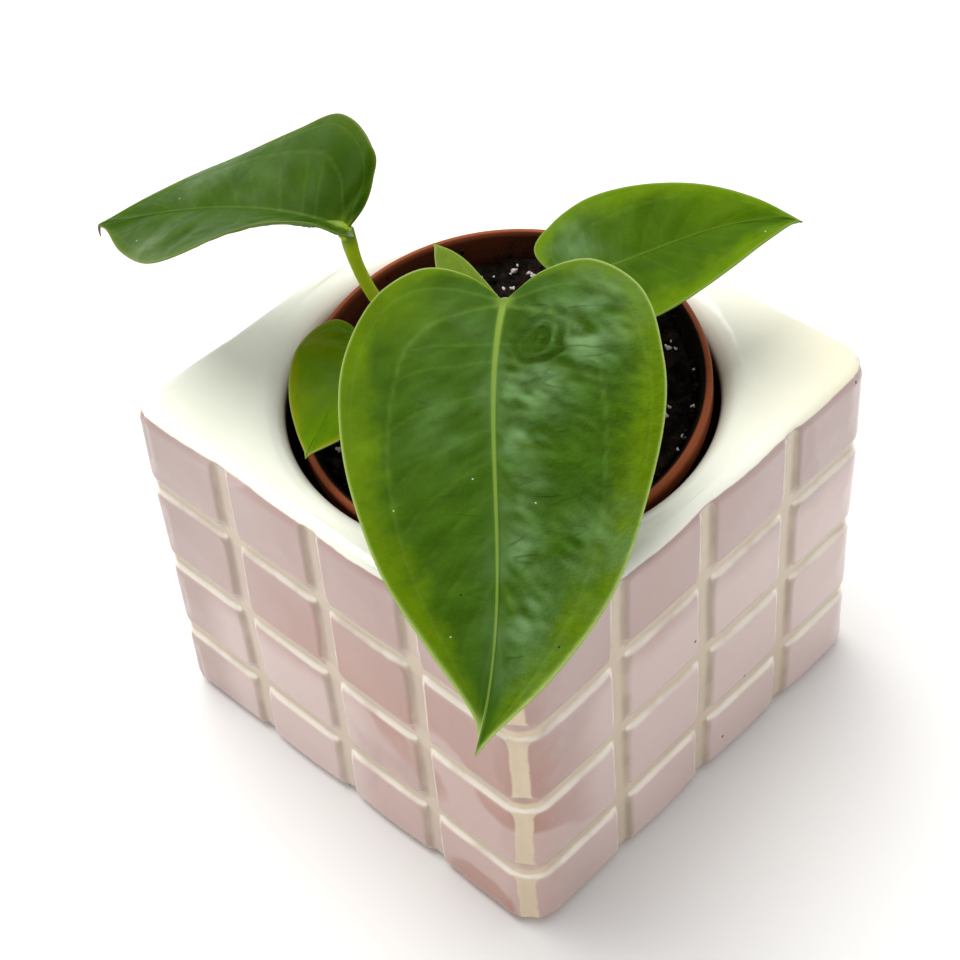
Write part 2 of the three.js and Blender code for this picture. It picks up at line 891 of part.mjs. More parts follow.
let soil = soilBody();
for (const grain of soilGrains()) {
  soil = soil.add(grain);
}
const stemRoomHeight = 40;
const stemRoom = new THREE.CylinderGeometry(
  CROWN.room,
  CROWN.room,
  stemRoomHeight,
  14,
);
stemRoom.rotateX(Math.PI / 2);
stemRoom.translate(0, 0, CROWN.foot - GAP + stemRoomHeight / 2);
soil = soil.subtract(toSolid(stemRoom));

potFrame.add(piece("nursery_pot", nurseryPot(), COLOURS.plastic, 0.55));

const part = new THREE.Group();
part.add(piece("cover_pot", coverPot(), COLOURS.tile, 0.25));
part.add(potFrame);
part.add(piece("soil", toGeometry(soil), COLOURS.soil, 0.95));
part.add(plant);

export default part;
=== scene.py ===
import math

import bmesh
import bpy
import numpy as np
from mathutils import Matrix, Vector


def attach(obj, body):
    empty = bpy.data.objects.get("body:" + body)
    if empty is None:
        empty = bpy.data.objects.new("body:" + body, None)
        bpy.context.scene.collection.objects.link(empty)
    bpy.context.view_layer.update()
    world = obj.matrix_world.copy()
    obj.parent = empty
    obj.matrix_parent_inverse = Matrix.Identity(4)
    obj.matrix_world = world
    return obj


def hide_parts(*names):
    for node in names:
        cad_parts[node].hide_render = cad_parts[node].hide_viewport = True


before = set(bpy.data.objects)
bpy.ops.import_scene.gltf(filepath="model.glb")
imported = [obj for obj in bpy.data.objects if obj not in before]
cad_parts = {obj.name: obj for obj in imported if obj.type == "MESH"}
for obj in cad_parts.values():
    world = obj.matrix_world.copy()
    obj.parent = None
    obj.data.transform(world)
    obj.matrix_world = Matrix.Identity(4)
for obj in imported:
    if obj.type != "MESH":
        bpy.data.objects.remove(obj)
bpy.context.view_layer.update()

# A young king anthurium in its nursery pot, in a square tiled ceramic cover pot.
# Shapes are worked out in millimetres and turned into metres when a mesh is made.
# Places in the glaze are metres, and places on a leaf are flat millimetres across and along.
MM = 0.001
UP = np.array([0.0, 0.0, 1.0])

# Camera, as the photograph was taken
CAMERA_PLACE = Vector((192.4, -186.9, 325.3)) * MM
CAMERA_AIM = Vector((-10.8, 3.3, 38.0)) * MM
CAMERA_ROLL = math.radians(-4.9)
LENS = 82.35
SENSOR = 36.0
BRIGHT_SKY = (-0.6, 0.45, 0.66)  # the side of the room that gives more light
STUDIO_HALF = 3000.0
STUDIO_FLOOR = (0.93, 0.93, 0.92)

# Cover pot
POT_WIDTH = 90.0
POT_HEIGHT = 72.0
CORNER_RADII = [6.0, 6.2, 6.0, 4.0]  # near, right, back and left corners
CORNER_TURNS = [36.5, 45.0, 45.0, 45.0]  # degrees round each corner where its groove runs
LIT_WALLS = [1, -1, -1, 1]  # which wall of a side's upright grooves gets the painted highlight
SIDE_SHIFTS = [-0.85, 0.4, 0.0, 0.0]  # how far a side's upright grooves sit off its middle
GROOVE_PITCH = 21.65
ROW_LINES = [16.1, 34.7, 53.9]
GROOVE_DEPTH = 1.0
UPRIGHT_EDGE = 2.45  # half widths of the grooves at the tile faces
LEVEL_EDGE = 2.25
CORNER_EDGE = 1.75
GROOVE_SLOPE = 1.7
PINK_UPRIGHTS = 0.3  # how much pink is left in the upright grooves of the first side
TILE_ROUND = 1.5
CORNER_LEVEL = 0.75  # how deep the grooves are at a corner
CORNER_UPRIGHT = 0.55
GROOVE_TOP = (69.8, 71.6)  # heights between which the upright grooves run out
GROOVE_BOTTOM = (0.2, 2.2)
IVORY_LINE = (70.7, 71.6)  # heights between which the glaze turns ivory
TOP_RADIUS = 2.4
FOOT_RADIUS = 3.0
CORNER_FOOT = 1.5
MOUTH_RADIUS = 36.7
LIP_WIDTH = 5.0
LIP_DROP = 4.0
TOP_DIP = 0.2  # how far the top sinks from its edge to the lip
SHELF = 6.0
WALL = 5.5
FLOOR = 6.5

# Nursery pot, leaning in the cover pot
RIM_RADIUS = 35.0
RIM_CENTRE = np.array([0.35, 0.0, 72.0])
LEAN = np.array([math.tan(math.radians(3.0)), math.tan(math.radians(-7.9)), 1.0])
NURSERY_HEIGHT = 62.0
NURSERY_FOOT = 23.5
NURSERY_TAPER_TOP = 32.8
NURSERY_WALL = 1.2
NURSERY_SKIRT = 4.5
DRAIN_HOLES = 4
DRAIN_RADIUS = 2.6
DRAIN_CIRCLE = 13
SOIL_LEVEL = NURSERY_HEIGHT - 6.0
SOIL_BANK = 3.0  # how much higher the soil lies at the wall
CRUMBS = [(0.3, 4.2, 31, 20), (0.22, 1.9, 32, 24), (0.12, 1.0, 33, 24)]  # height, size, seed and waves
DRY_LIT_TURN = math.radians(172)  # where the wall is bare and lit, round the pot

CROWN_SOIL_LINE = 66.0
CROWN_TOP = 71.8
CROWN_RADIUS = 4.4
STALK_CIRCLE = 2.6  # where the stalks start in the crown, out from its middle and up
STALK_FOOT = CROWN_SOIL_LINE + 0.9
SHEATH_SCALES = [(-80, 8.2, 6.5), (10, 7.0, 5.5), (98, 9.0, 6.0)]  # degrees round it, height, width

# Glaze colours
TILE_COOL = (0.51, 0.372, 0.352)
TILE_WARM = (0.45, 0.232, 0.182)
TILE_PALE = (0.68, 0.52, 0.485)
TILE_DARK = (0.36, 0.235, 0.215)
GROOVE_CREAM = (0.64, 0.52, 0.385)
STRIP_CREAM = (0.735, 0.59, 0.41)
# cream where the glaze breaks thin over edges, also laid on as a painted highlight
GLAZE_BREAK_AND_HIGHLIGHT = (0.96, 0.88, 0.77)
# painted shade on groove walls turned from the light and under the upper tiles' edges
GROOVE_SHADE = (0.36, 0.28, 0.21)
IVORY = (0.96, 0.965, 0.85)
IVORY_SHADE = (0.86, 0.83, 0.64)
THROAT_SHADE = (0.17, 0.1, 0.065)
PINHOLE = (0.05, 0.04, 0.03)
BARE_CLAY = (0.72, 0.66, 0.57)

# Plastic, soil and crown colours
PLASTIC_BROWN = (0.29, 0.075, 0.028)
PLASTIC_SCUFF = (0.33, 0.14, 0.08)
PLASTIC_GLINT = (1.0, 0.7, 0.55)
# the inside of the nursery pot: darker with soil and painted shade, with painted deeper shade further down
INNER_SHADE_AND_SOIL = (0.1, 0.024, 0.009)
INNER_DEEP_SHADE = (0.022, 0.005, 0.002)
# painted shade on the inner wall's side away from the light
INNER_SIDE_SHADE = (0.004, 0.0025, 0.0018)
SOIL_DUST = (0.018, 0.011, 0.007)
MIX_COLOURS = (0.0022, 0.0015, 0.001), (0.016, 0.009, 0.005)
BARK_COLOURS = (0.006, 0.0035, 0.002), (0.045, 0.022, 0.01)
PEAT_COLOURS = (0.003, 0.002, 0.0015), (0.02, 0.011, 0.006)
PERLITE_COLOURS = (0.6, 0.56, 0.54), (0.2, 0.16, 0.14)
SHEATH_COLOURS = (0.1, 0.055, 0.025), (0.3, 0.21, 0.09)

# Leaf colours
LEAF_RIB = (0.19, 0.29, 0.045)
LEAF_VEIN = (0.12, 0.21, 0.03)
LEAF_UNDER = (0.13, 0.2, 0.06)
LEAF_RIM = (0.36, 0.46, 0.13)
# painted sheen: reflections of the light painted onto the leaves
LEAF_SHEEN = (0.115, 0.215, 0.08)
LEAF_GREY_SHEEN = (0.21, 0.285, 0.15)
LEAF_GLINT = (0.85, 1.0, 0.16)
LEAF_CREASE_SHADE = (0.014, 0.045, 0.004)
LEAF_SHADE = (0.018, 0.062, 0.002)
LEAF_RUST = (0.33, 0.24, 0.015)
LEAF_DUST = (0.6, 0.66, 0.52)
LEAF_GRIT = (0.012, 0.02, 0.008)
JOINT_GREEN = (0.13, 0.215, 0.018)
STALK_GREEN = (0.37, 0.49, 0.01)
STALK_TAN = (0.2, 0.15, 0.05)
STALK_FLECK = (0.32, 0.36, 0.1)
DRY_TIP = (0.2, 0.16, 0.09)


def heart_half(width, length, lobe, fullness):
    """One half of a heart-shaped outline, as the solids have it."""
    back = [(0.27, 0.8), (0.6, 1.0)]
    ahead = [(0.89, 0.0), (1.0, 0.15), (0.98, 0.3), (0.86, 0.48), (0.66, 0.66), (0.36, 0.83), (0.08, 0.95)]
    points = [(x * width, -y * lobe) for x, y in back]
    return points + [(x * width + fullness * math.sin(math.pi * y) ** 2, y * length) for x, y in ahead]


# What a leaf has unless it says otherwise. Its painted sheen, painted sunny light and painted shady patches
# are each an x, a y, a size and a strength.
PLAIN_LEAF = dict(
    drip=0.0, lobe_rise=0.0, rib_fade=0.7, rib_raise=1.0, joint=1.0, sheen=[], sunny=[], shady=[],
    crinkle={"right": 0.25, "left": 0.25}, dent=None, slot="leaf_green",
)
# Each blade: midrib curve from sinus to tip, twist, rise and bend of its halves, outlines, relief,
# stalk and colours.
LEAVES = {
    "front": dict(
        midrib=[(6.5, -4.3, 96.0), (20.0, -26.0, 93.0), (42.3, -39.5, 86.0), (51.7, -60.8, 74.0)],
        roll=(-3.5, 3.0),
        fold={"right": (8, 7, 5), "left": (13, 8, 2)},
        curl={"right": (0.007, 0.007, 0.007), "left": (0.01, 0.01, 0.01)},
        lobe_rise=0.013,
        right=[
            (6.7, -4.2), (14.5, -4.7), (20.8, 1.0), (23.7, 10.6), (23.7, 21.3),
            (21.6, 35.0), (16.9, 49.7), (9.4, 61.8), (1.2, 71.4),
        ],
        left=[
            (5.4, -5.6), (13.9, -7.4), (22.8, -0.8), (26.2, 13.4), (25.9, 25.4),
            (22.2, 39.1), (17.0, 51.9), (9.3, 63.5), (2.4, 72.2),
        ],
        rows=22, quilt=0.1, wave=0.35, grid=(190, 66), rib=0.95, rib_fade=0.3, pucker=0.23, seed=3,
        sheen=[
            (-15, 1, 9, 0.8), (-13, 9, 7, 1.15), (-5, 17, 7, 1.2), (-4, 27, 4, 1.1), (-4, 36, 4, 1.0),
            (-4, 46, 5, 1.0), (-4, 56, 5, 1.1), (-3, 63, 4, 0.9), (-17, 46, 8, 0.7), (5, 6, 7, 0.35),
            (7, 24, 7, 0.3),
        ],
        sunny=[(17, 3, 7, 0.6)],
        shady=[
            (-10, 26, 4, 0.35), (-11, 36, 5, 0.6), (-6.6, 8.8, 3.4, 0.45),
            (22, 20, 8, 0.22), (1, 68, 5, 0.33),
        ],
        crinkle={"right": 0.45, "left": 1.0},
        dent=(6.6, 8.8),
        stalk=dict(start=-32, radius=1.3, leave=(0, 0, 16), approach=(1, -0.5, -9)),
        look=dict(
            deep=(0.031, 0.086, 0.003), warm=(0.088, 0.162, 0.001), margin=0.3, haze=0.95, vein=0.4, rim=0.85,
        ),
    ),
    "left": dict(
        midrib=[(-22.1, -10.7, 99.7), (-38.6, -15.4, 101.8), (-51.9, -24.0, 96.7), (-66.4, -27.7, 88.7)],
        drip=1.6,
        roll=(3.0, 9.7),
        fold={"right": (58, 8, 9), "left": (44, 20, -14.5)},
        curl={"right": (0.0, 0.029, 0.021), "left": (-0.004, 0.013, 0.02)},
        lobe_rise=0.004,
        right=[
            (4.9, -1.9), (9.5, -2.1), (14.2, -0.7), (18.2, 7.5), (16.9, 14.8),
            (15.5, 23.3), (12.1, 32.3), (6.5, 40.2), (1.6, 47.6),
        ],
        left=[
            (4.7, -3.2), (10.3, -4.2), (15.3, -0.4), (17.9, 7.3), (18.1, 15.1),
            (15.7, 24.0), (12.4, 33.1), (7.2, 41.6), (1.8, 47.6),
        ],
        rows=18, quilt=0.22, wave=0.2, grid=(150, 46), rib=0.7, pucker=0.16, seed=5,
        sheen=[(5, 14, 9, 0.25), (-10, 34, 7, 0.65), (9, 30, 6, 0.5)],
        joint=2.6,
        stalk=dict(start=175, radius=1.2, leave=(-9.5, -4, 2.4), approach=(-3, 2.9, -19.3)),
        look=dict(
            deep=(0.034, 0.085, 0.003), warm=(0.055, 0.112, 0.002), margin=0.2, haze=0.9, vein=0.35,
            rib=0.55, rim=0.25, sheen=LEAF_GREY_SHEEN,
        ),
    ),
    "right": dict(
        midrib=[(5.4, 11.2, 89.7), (13.1, 22.1, 90.4), (19.1, 33.6, 97.4), (28.1, 44.1, 92.6)],
        roll=(-3.6, 2.4),
        fold={"right": (10.5, 4, 10), "left": (5.5, 17, 3.5)},
        curl={"right": (0.009, 0.014, 0.009), "left": (0.01, 0.004, 0.011)},
        lobe_rise=-0.003,
        right=heart_half(14.1, 40.6, 3.2, 0.2),
        left=heart_half(14.0, 40.6, 3.5, 0.2),
        rows=16, quilt=0.22, wave=0.3, grid=(130, 40), rib=0.6, pucker=0.13, seed=8,
        sheen=[(-6, 3, 6, 1.0)],
        sunny=[(-5, 29, 6, 0.5)],
        stalk=dict(start=42, radius=1.15, leave=(0, 0, 10), approach=(0.4, -0.6, -8)),
        look=dict(deep=(0.04, 0.1, 0.001), warm=(0.1, 0.19, 0.0), margin=0.4, haze=0.8, rib=0.6, rim=0.3),
    ),
    "small": dict(
        midrib=[(-19.6, -13.0, 80.0), (-15.7, -20.7, 79.5), (-12.2, -28.3, 76.9), (-9.1, -36.3, 75.5)],
        roll=(-4.0, 3.0),
        fold={"right": (4, 5.5, -3), "left": (11, -2, -3)},
        curl={"right": (0.011, 0.009, 0.011), "left": (0.01, 0.011, 0.01)},
        right=heart_half(9.3, 26.0, 2.5, 0.2),
        left=heart_half(9.1, 26.0, 2.2, 0.2),
        rows=12, quilt=0.16, wave=0.25, grid=(96, 30), rib=0.45, pucker=0.16, seed=13, rib_raise=0.2,
        sheen=[(2, 12, 4, 0.9)],
        sunny=[(6.5, 3, 4, 0.6), (6, 15, 4, 0.4)],
        stalk=dict(start=-100, radius=0.85, leave=(0, 0, 5), approach=(4.5, 4, -4.5)),
        look=dict(
            deep=(0.1, 0.21, 0.001), warm=(0.2, 0.24, 0.001), margin=0.22, haze=0.5, stain=0.5, vein=0.25,
            rib=0.15, rim=0.5,
        ),
    ),
    "young": dict(
        midrib=[(-6.6, 2.8, 77.0), (-13.6, 5.7, 79.0), (-19.9, 10.6, 79.2), (-27.6, 12.6, 79.0)],
        roll=(2.0, 1.0),
        fold={"right": (25, 22, 10), "left": (25, 20, 10)},
        curl={"right": (0.01, 0.01, 0.01), "left": (0.01, 0.01, 0.01)},
        right=heart_half(5.4, 23.4, 1.8, -0.9),
        left=heart_half(5.3, 23.4, 1.8, -0.7),
        rows=10, quilt=0.1, wave=0.15, grid=(70, 20), rib=0.4, pucker=0.05, seed=21, slot="leaf_pale",
        stalk=dict(start=112, radius=0.75, leave=(0, 0, 3.5), approach=(1.6, -0.6, -3.5)),
        look=dict(deep=(0.12, 0.19, 0.015), warm=(0.14, 0.21, 0.02), margin=0.3, rim=0.5),
    ),
}
SIDES = {"right": 1.0, "left": -1.0}  # which way each half lies from the midrib
BLADE_THICKNESS = 0.5
VEIN_SWEEP = 2.2
VEIN_BOW = 1.35
# Courses of the long veins, as shares of the way along the outline and out from the midrib.
BASAL_VEIN = [(0.1, 0), (0.2, 0.16), (0.28, 0.35), (0.38, 0.57), (0.5, 0.66)]
BASAL_VEIN += [(0.64, 0.77), (0.77, 0.85), (0.95, 0.93)]
LOBE_VEIN = [(0.04, 0), (0.1, 0.2), (0.16, 0.45), (0.24, 0.73), (0.32, 0.86), (0.42, 0.9), (0.56, 0.94)]
SIDE_VEINS = [0.385, 0.445, 0.53, 0.61, 0.665, 0.72, 0.775, 0.83, 0.885]


# Small maths helpers

def unit(v):
    return v / np.linalg.norm(v, axis=-1, keepdims=True)


def smooth_step(low, high, value):
    t = np.clip((value - low) / (high - low), 0.0, 1.0)
    return t * t * (3.0 - 2.0 * t)


def hill(value, middle, width, power=2):
    """1 at the middle, falling off to either side over about a width."""
    return np.exp(-(((value - middle) / width) ** power))


def catmull(points, share):
    """Points of a Catmull-Rom curve through the given ones, for shares from 0 to 1."""
    points = np.asarray(points, float)
    last = len(points) - 1
    t = np.clip(share, 0.0, 1.0) * last
    i = np.minimum(t.astype(int), last - 1)
    w = (t - i)[:, None]
    p0, p1 = points[np.maximum(i - 1, 0)], points[i]
    p2, p3 = points[i + 1], points[np.minimum(i + 2, last)]
    v0, v1 = (p2 - p0) / 2, (p3 - p1) / 2
    return (2 * p1 - 2 * p2 + v0 + v1) * w**3 + (3 * p2 - 3 * p1 - 2 * v0 - v1) * w**2 + v0 * w + p1


def bezier(handles, t):
    """Points of a cubic curve, and the way it heads there."""
    a, b, c, d = [np.asarray(h, float) for h in handles]
    t = t[:, None]
    s = 1 - t
    heading = s**2 * (b - a) + 2 * s * t * (c - b) + t * t * (d - c)
    return s**3 * a + 3 * s**2 * t * b + 3 * s * t * t * c + t**3 * d, unit(heading)


def amount_along(amounts, t):
    """A value that passes through its amounts at the base, the middle and the tip."""
    base, middle, tip = amounts
    s = np.clip(t, 0.0, 1.0)
    handle = 2 * middle - 0.5 * (base + tip)
    return (1 - s) ** 2 * base + 2 * s * (1 - s) * handle + s * s * tip


def swell(points, wavelength, seed, waves=14):
    """Smooth random relief of about -1 to 1: a sum of waves in many directions."""
    draw = np.random.default_rng(seed)
    total = np.zeros(len(points))
    for _ in range(waves):
        heading = unit(draw.normal(size=points.shape[1]))
        turns = draw.uniform(0.7, 1.4) / wavelength
        total += np.sin(2 * math.pi * turns * (points @ heading) + draw.uniform(0, 2 * math.pi))
    return total / math.sqrt(waves)


def nearness(points, course, widths):
    """1 on a line of points, falling to 0 about two widths away."""
    near = np.zeros(len(points))
    for start, end, width in zip(course, course[1:], widths):
        step = end - start
        t = np.clip(((points - start) @ step) / max(step @ step, 1e-9), 0.0, 1.0)
        near = np.maximum(near, hill(np.linalg.norm(points - start - t[:, None] * step, axis=1), 0, width))
    return near


def circle(sides):
    """Angles round a circle, and its points at a radius of 1."""
    angles = np.arange(sides) * 2 * math.pi / sides
    return angles, np.stack([np.cos(angles), np.sin(angles), np.zeros(sides)], axis=1)


# Mesh making

def new_mesh(name, points, faces):
    mesh = bpy.data.meshes.new(name)
    mesh.from_pydata((np.asarray(points) * MM).tolist(), [], faces)
    return mesh


def add_object(name, data):
    thing = bpy.data.objects.new(name, data)
    bpy.context.scene.collection.objects.link(thing)
    return thing


def make_piece(name, points, faces, material, node, masks=None):
    """A smooth mesh from millimetre points, with a number for each point in each of its masks."""
    mesh = new_mesh(name, points, faces)
    for key, values in (masks or {}).items():
        values = np.asarray(values, np.float32)
        kind, field = ("FLOAT_VECTOR", "vector") if values.ndim == 2 else ("FLOAT", "value")
        mesh.attributes.new(key, kind, "POINT").data.foreach_set(field, values.ravel())
    mesh.shade_smooth()
    mesh.materials.append(material)
    piece = add_object(name, mesh)
    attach(piece, "root")
    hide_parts(node)
    return piece


def join_masks(bands):
    return {key: np.concatenate([band[key] for band in bands]) for key in bands[0]}


def loft(loops, low, high):
    """Points and faces of a closed body: rings in turn, and a middle point at each end."""
    count = len(loops[0])
    last = (len(loops) - 1) * count
    pairs = [(i, (i + 1) % count) for i in range(count)]
    faces = [(a + i, a + j, a + count + j, a + count + i) for a in range(0, last, count) for i, j in pairs]
    for i, j in pairs:
        faces += [(j, i, last + count), (last + i, last + j, last + count + 1)]
    return np.vstack([*loops, [low], [high]]), faces


def lathe(profile, sides):
    """Points and faces of a turned shape whose profile starts and ends on the axis."""
    (_, low), *inner, (_, high) = profile
    ring = circle(sides)[1]
    return loft([ring * r + UP * z for r, z in inner], UP * low, UP * high)


def sheet_faces(rows, columns, layer, start=0, flip=False):
    """Faces of a grid of points, and of the same grid one layer of points on, turned over."""
    faces = []
    for i in range(rows):
        first = start + i * (columns + 1)
        for a in range(first, first + columns):
            quad = (a, a + 1, a + columns + 2, a + columns + 1)
            quad = quad[::-1] if flip else quad
            faces += [quad, tuple(k + layer for k in quad[::-1])]
    return faces


def weld(points, faces, masks):
    """Joins points that lie together, and drops faces that lose more than one corner by it."""
    keys = np.round(points / 0.002).astype(np.int64)
    _, first, where = np.unique(keys, axis=0, return_index=True, return_inverse=True)
    where = where.ravel()
    kept = []
    for face in faces:
        face = [int(where[c]) for c in face]
        corners = [c for k, c in enumerate(face) if c != face[k - 1]]
        if len(set(corners)) == len(corners) and len(corners) > 2:
            kept.append(tuple(corners))
    return points[first], kept, {k: v[first] for k, v in masks.items()}


def tube_rings(centres, heading, radius, sides, furrow=0.0):
    """Rings round a bent line, with a furrow of the given depth along one side."""
    aside = unit(np.cross(heading, (0.31, 0.95, 0.02)))
    other = np.cross(heading, aside)
    angles, ring = circle(sides)
    depth = 1 - np.multiply.outer(furrow * np.ones(len(radius)), hill(angles, math.pi, 0.5))
    reach = (radius[:, None] * depth)[..., None]
    return centres[:, None] + reach * (ring[:, :1] * aside[:, None] + ring[:, 1:2] * other[:, None])


def tapering_tube(handles, radii, steps, sides):
    """Points and faces of a round tube along a bent line, with its thickness eased between radii."""
    share = np.linspace(0, 1, steps)
    centres, heading = bezier(handles, share)
    rings = tube_rings(centres, heading, catmull(np.array(radii)[:, None], share)[:, 0], sides)
    return *loft(rings, centres[0], centres[-1]), share


# Node helpers

class Value:
    """The output of a node. Plain arithmetic on it adds maths nodes."""

    def __init__(self, nodes, socket):
        self.nodes, self.socket = nodes, socket

    def __add__(self, other):
        return self.nodes.maths("ADD", self, other)

    def __sub__(self, other):
        return self.nodes.maths("SUBTRACT", self, other)

    def __rsub__(self, other):
        return self.nodes.maths("SUBTRACT", other, self)

    def __mul__(self, other):
        return self.nodes.maths("MULTIPLY", self, other)


class Nodes:
    """Adds nodes to a tree by short calls and links them."""

    def __init__(self, tree):
        self.tree = tree

    def feed(self, socket, value):
        if isinstance(value, Value):
            self.tree.links.new(value.socket, socket)
        elif isinstance(value, tuple) and len(value) == 3 and len(socket.default_value) == 4:
            socket.default_value = (*value, 1.0)
        else:
            socket.default_value = value

    def add(self, kind, output, inputs, **settings):
        """A new node with its settings and inputs, which are named or counted; gives one output."""
        node = self.tree.nodes.new(kind)
        for key, value in settings.items():
            setattr(node, key, value)
        for key, value in inputs.items():
            self.feed(node.inputs[key], value)
        return Value(self, node.outputs[output])

    def maths(self, operation, a, b=0.0):
        return self.add("ShaderNodeMath", 0, {0: a, 1: b}, operation=operation)

    def larger(self, a, b):
        return self.maths("MAXIMUM", a, b)

    def spread(self, value, low, high, to_low=0.0, to_high=1.0):
        """Eases a value's range from low to high over to another range."""
        ends = {"Value": value, "From Min": low, "From Max": high, "To Min": to_low, "To Max": to_high}
        return self.add("ShaderNodeMapRange", 0, ends, interpolation_type="SMOOTHSTEP")

    def mix(self, share, a, b, blend="MIX"):
        return self.add("ShaderNodeMix", 2, {0: share, 6: a, 7: b}, data_type="RGBA", blend_type=blend)

    def paint(self, colour, *coats):
        """Lays coats over a colour in turn, each a share and a colour."""
        for share, coat in coats:
            colour = self.mix(share, colour, coat)
        return colour

    def brighten(self, colour, gain):
        grey = self.add("ShaderNodeCombineColor", 0, {0: gain, 1: gain, 2: gain})
        return self.mix(1.0, colour, grey, "MULTIPLY")

    def noise(self, place, scale, detail=3.0, roughness=0.5, output="Fac"):
        inputs = {"Vector": place, "Scale": scale, "Detail": detail, "Roughness": roughness}
        return self.add("ShaderNodeTexNoise", output, inputs)

    def mask(self, name):
        return self.add("ShaderNodeAttribute", "Fac", {}, attribute_name=name)

    def place(self):
        return self.add("ShaderNodeTexCoord", "Object", {})

    def shift(self, place, offset):
        return self.add("ShaderNodeVectorMath", 0, {0: place, 1: offset}, operation="ADD")

    def bend(self, place, scale, amount):
        """Places moved a little at random, for edges that wander."""
        noise = self.noise(place, scale, 2.0, output="Color")
        step = self.add("ShaderNodeVectorMath", 0, {0: noise, "Scale": amount}, operation="SCALE")
        return self.shift(place, step)

    def split(self, place):
        """The three parts of a place."""
        first = self.add("ShaderNodeSeparateXYZ", 0, {0: place})
        return [Value(self, socket) for socket in first.socket.node.outputs]

    def group(self, tree, **inputs):
        return self.add("ShaderNodeGroup", 0, inputs, node_tree=tree)

    def uneven(self, place, colour, scale, amount):
        return self.group(UNEVEN, Place=place, Colour=colour, Scale=scale, Amount=amount)

    def dots(self, place, scale, size, share):
        return self.group(DOTS, Place=place, Scale=scale, Size=size, Share=share)


def new_group(name, output, *inputs):
    """An empty shader group; gives its nodes, its inputs and its output socket."""
    kinds = {"Place": "NodeSocketVector", "Colour": "NodeSocketColor"}
    tree = bpy.data.node_groups.new(name, "ShaderNodeTree")
    for key, way in [(key, "INPUT") for key in inputs] + [(output, "OUTPUT")]:
        tree.interface.new_socket(key, in_out=way, socket_type=kinds.get(key, "NodeSocketFloat"))
    nodes = Nodes(tree)
    entry = tree.nodes.new("NodeGroupInput").outputs
    return nodes, [Value(nodes, entry[key]) for key in inputs], tree.nodes.new("NodeGroupOutput").inputs[0]


def uneven_group():
    """Uneven colour: two sizes of blotch lighten and darken a base colour."""
    nodes, entries, leave = new_group("uneven_colour", "Colour", "Place", "Colour", "Scale", "Amount")
    place, colour, scale, amount = entries
    both = nodes.noise(place, scale) * 0.65 + nodes.noise(place, scale * 5.3, 4.0, 0.6) * 0.35
    nodes.feed(leave, nodes.brighten(colour, (both - 0.5) * amount + 1.0))
    return nodes.tree


def dots_group():
    """A mask of small scattered dots: grit, pinholes or dust."""
    nodes, entries, leave = new_group("scattered_dots", "Mask", "Place", "Scale", "Size", "Share")
    place, scale, size, share = entries
    cell = nodes.add("ShaderNodeTexVoronoi", "Distance", {"Vector": place, "Scale": scale})
    lot = nodes.add("ShaderNodeSeparateColor", 0, {0: Value(nodes, cell.socket.node.outputs["Color"])})
    nodes.feed(leave, nodes.maths("LESS_THAN", cell, size) * nodes.maths("LESS_THAN", lot, share))
    return nodes.tree


def creases_group():
    """A mask of short thin creases that lie in patches and run mostly across a leaf."""
    nodes, (place,), leave = new_group("short_creases", "Mask", "Place")
    slant = {"Vector": place, "Rotation": (0.0, 0.0, math.radians(-14)), "Scale": (0.34, 1.0, 1.0)}
    slanted = nodes.add("ShaderNodeMapping", 0, slant)
    ridge = nodes.maths("ABSOLUTE", nodes.noise(slanted, 0.3, 1.2) - 0.5)
    patch = nodes.spread(nodes.noise(place, 0.15, 2.0), 0.46, 0.66)
    nodes.feed(leave, nodes.spread(ridge, 0.055, 0.0) * patch)
    return nodes.tree


UNEVEN = uneven_group()
DOTS = dots_group()
CREASES = creases_group()


class Finish(Nodes):
    """The nodes of a new material with one shader."""

    def __init__(self, name, roughness, specular, **inputs):
        self.material = bpy.data.materials.new(name)
        self.material.use_nodes = True
        super().__init__(self.material.node_tree)
        self.dress(Roughness=roughness, Specular_IOR_Level=specular, **inputs)

    def dress(self, **inputs):
        """Feeds the shader's inputs, named with _ for a space; gives the material."""
        for key, value in inputs.items():
            self.feed(self.tree.nodes["Principled BSDF"].inputs[key.replace("_", " ")], value)
        return self.material

    def bump(self, height, distance, strength=1.0):
        inputs = {"Height": height, "Distance": distance, "Strength": strength}
        self.dress(Normal=self.add("ShaderNodeBump", 0, inputs))


# Materials

def painted_low_light(glaze, place, front):
    """Painted light that makes the glaze paler: low in the middle of the first side, and low on the second.
    """
    x, y, z = glaze.split(place)
    middle = glaze.spread(x, -0.034, -0.024) * glaze.spread(x, 0.012, 0.004)
    first = middle * front * glaze.spread(z, 0.038, 0.03)
    beyond = glaze.spread(x, 0.04, 0.044) * glaze.spread(y, -0.032, -0.022)
    return glaze.larger(first, beyond * glaze.spread(z, 0.057, 0.049))


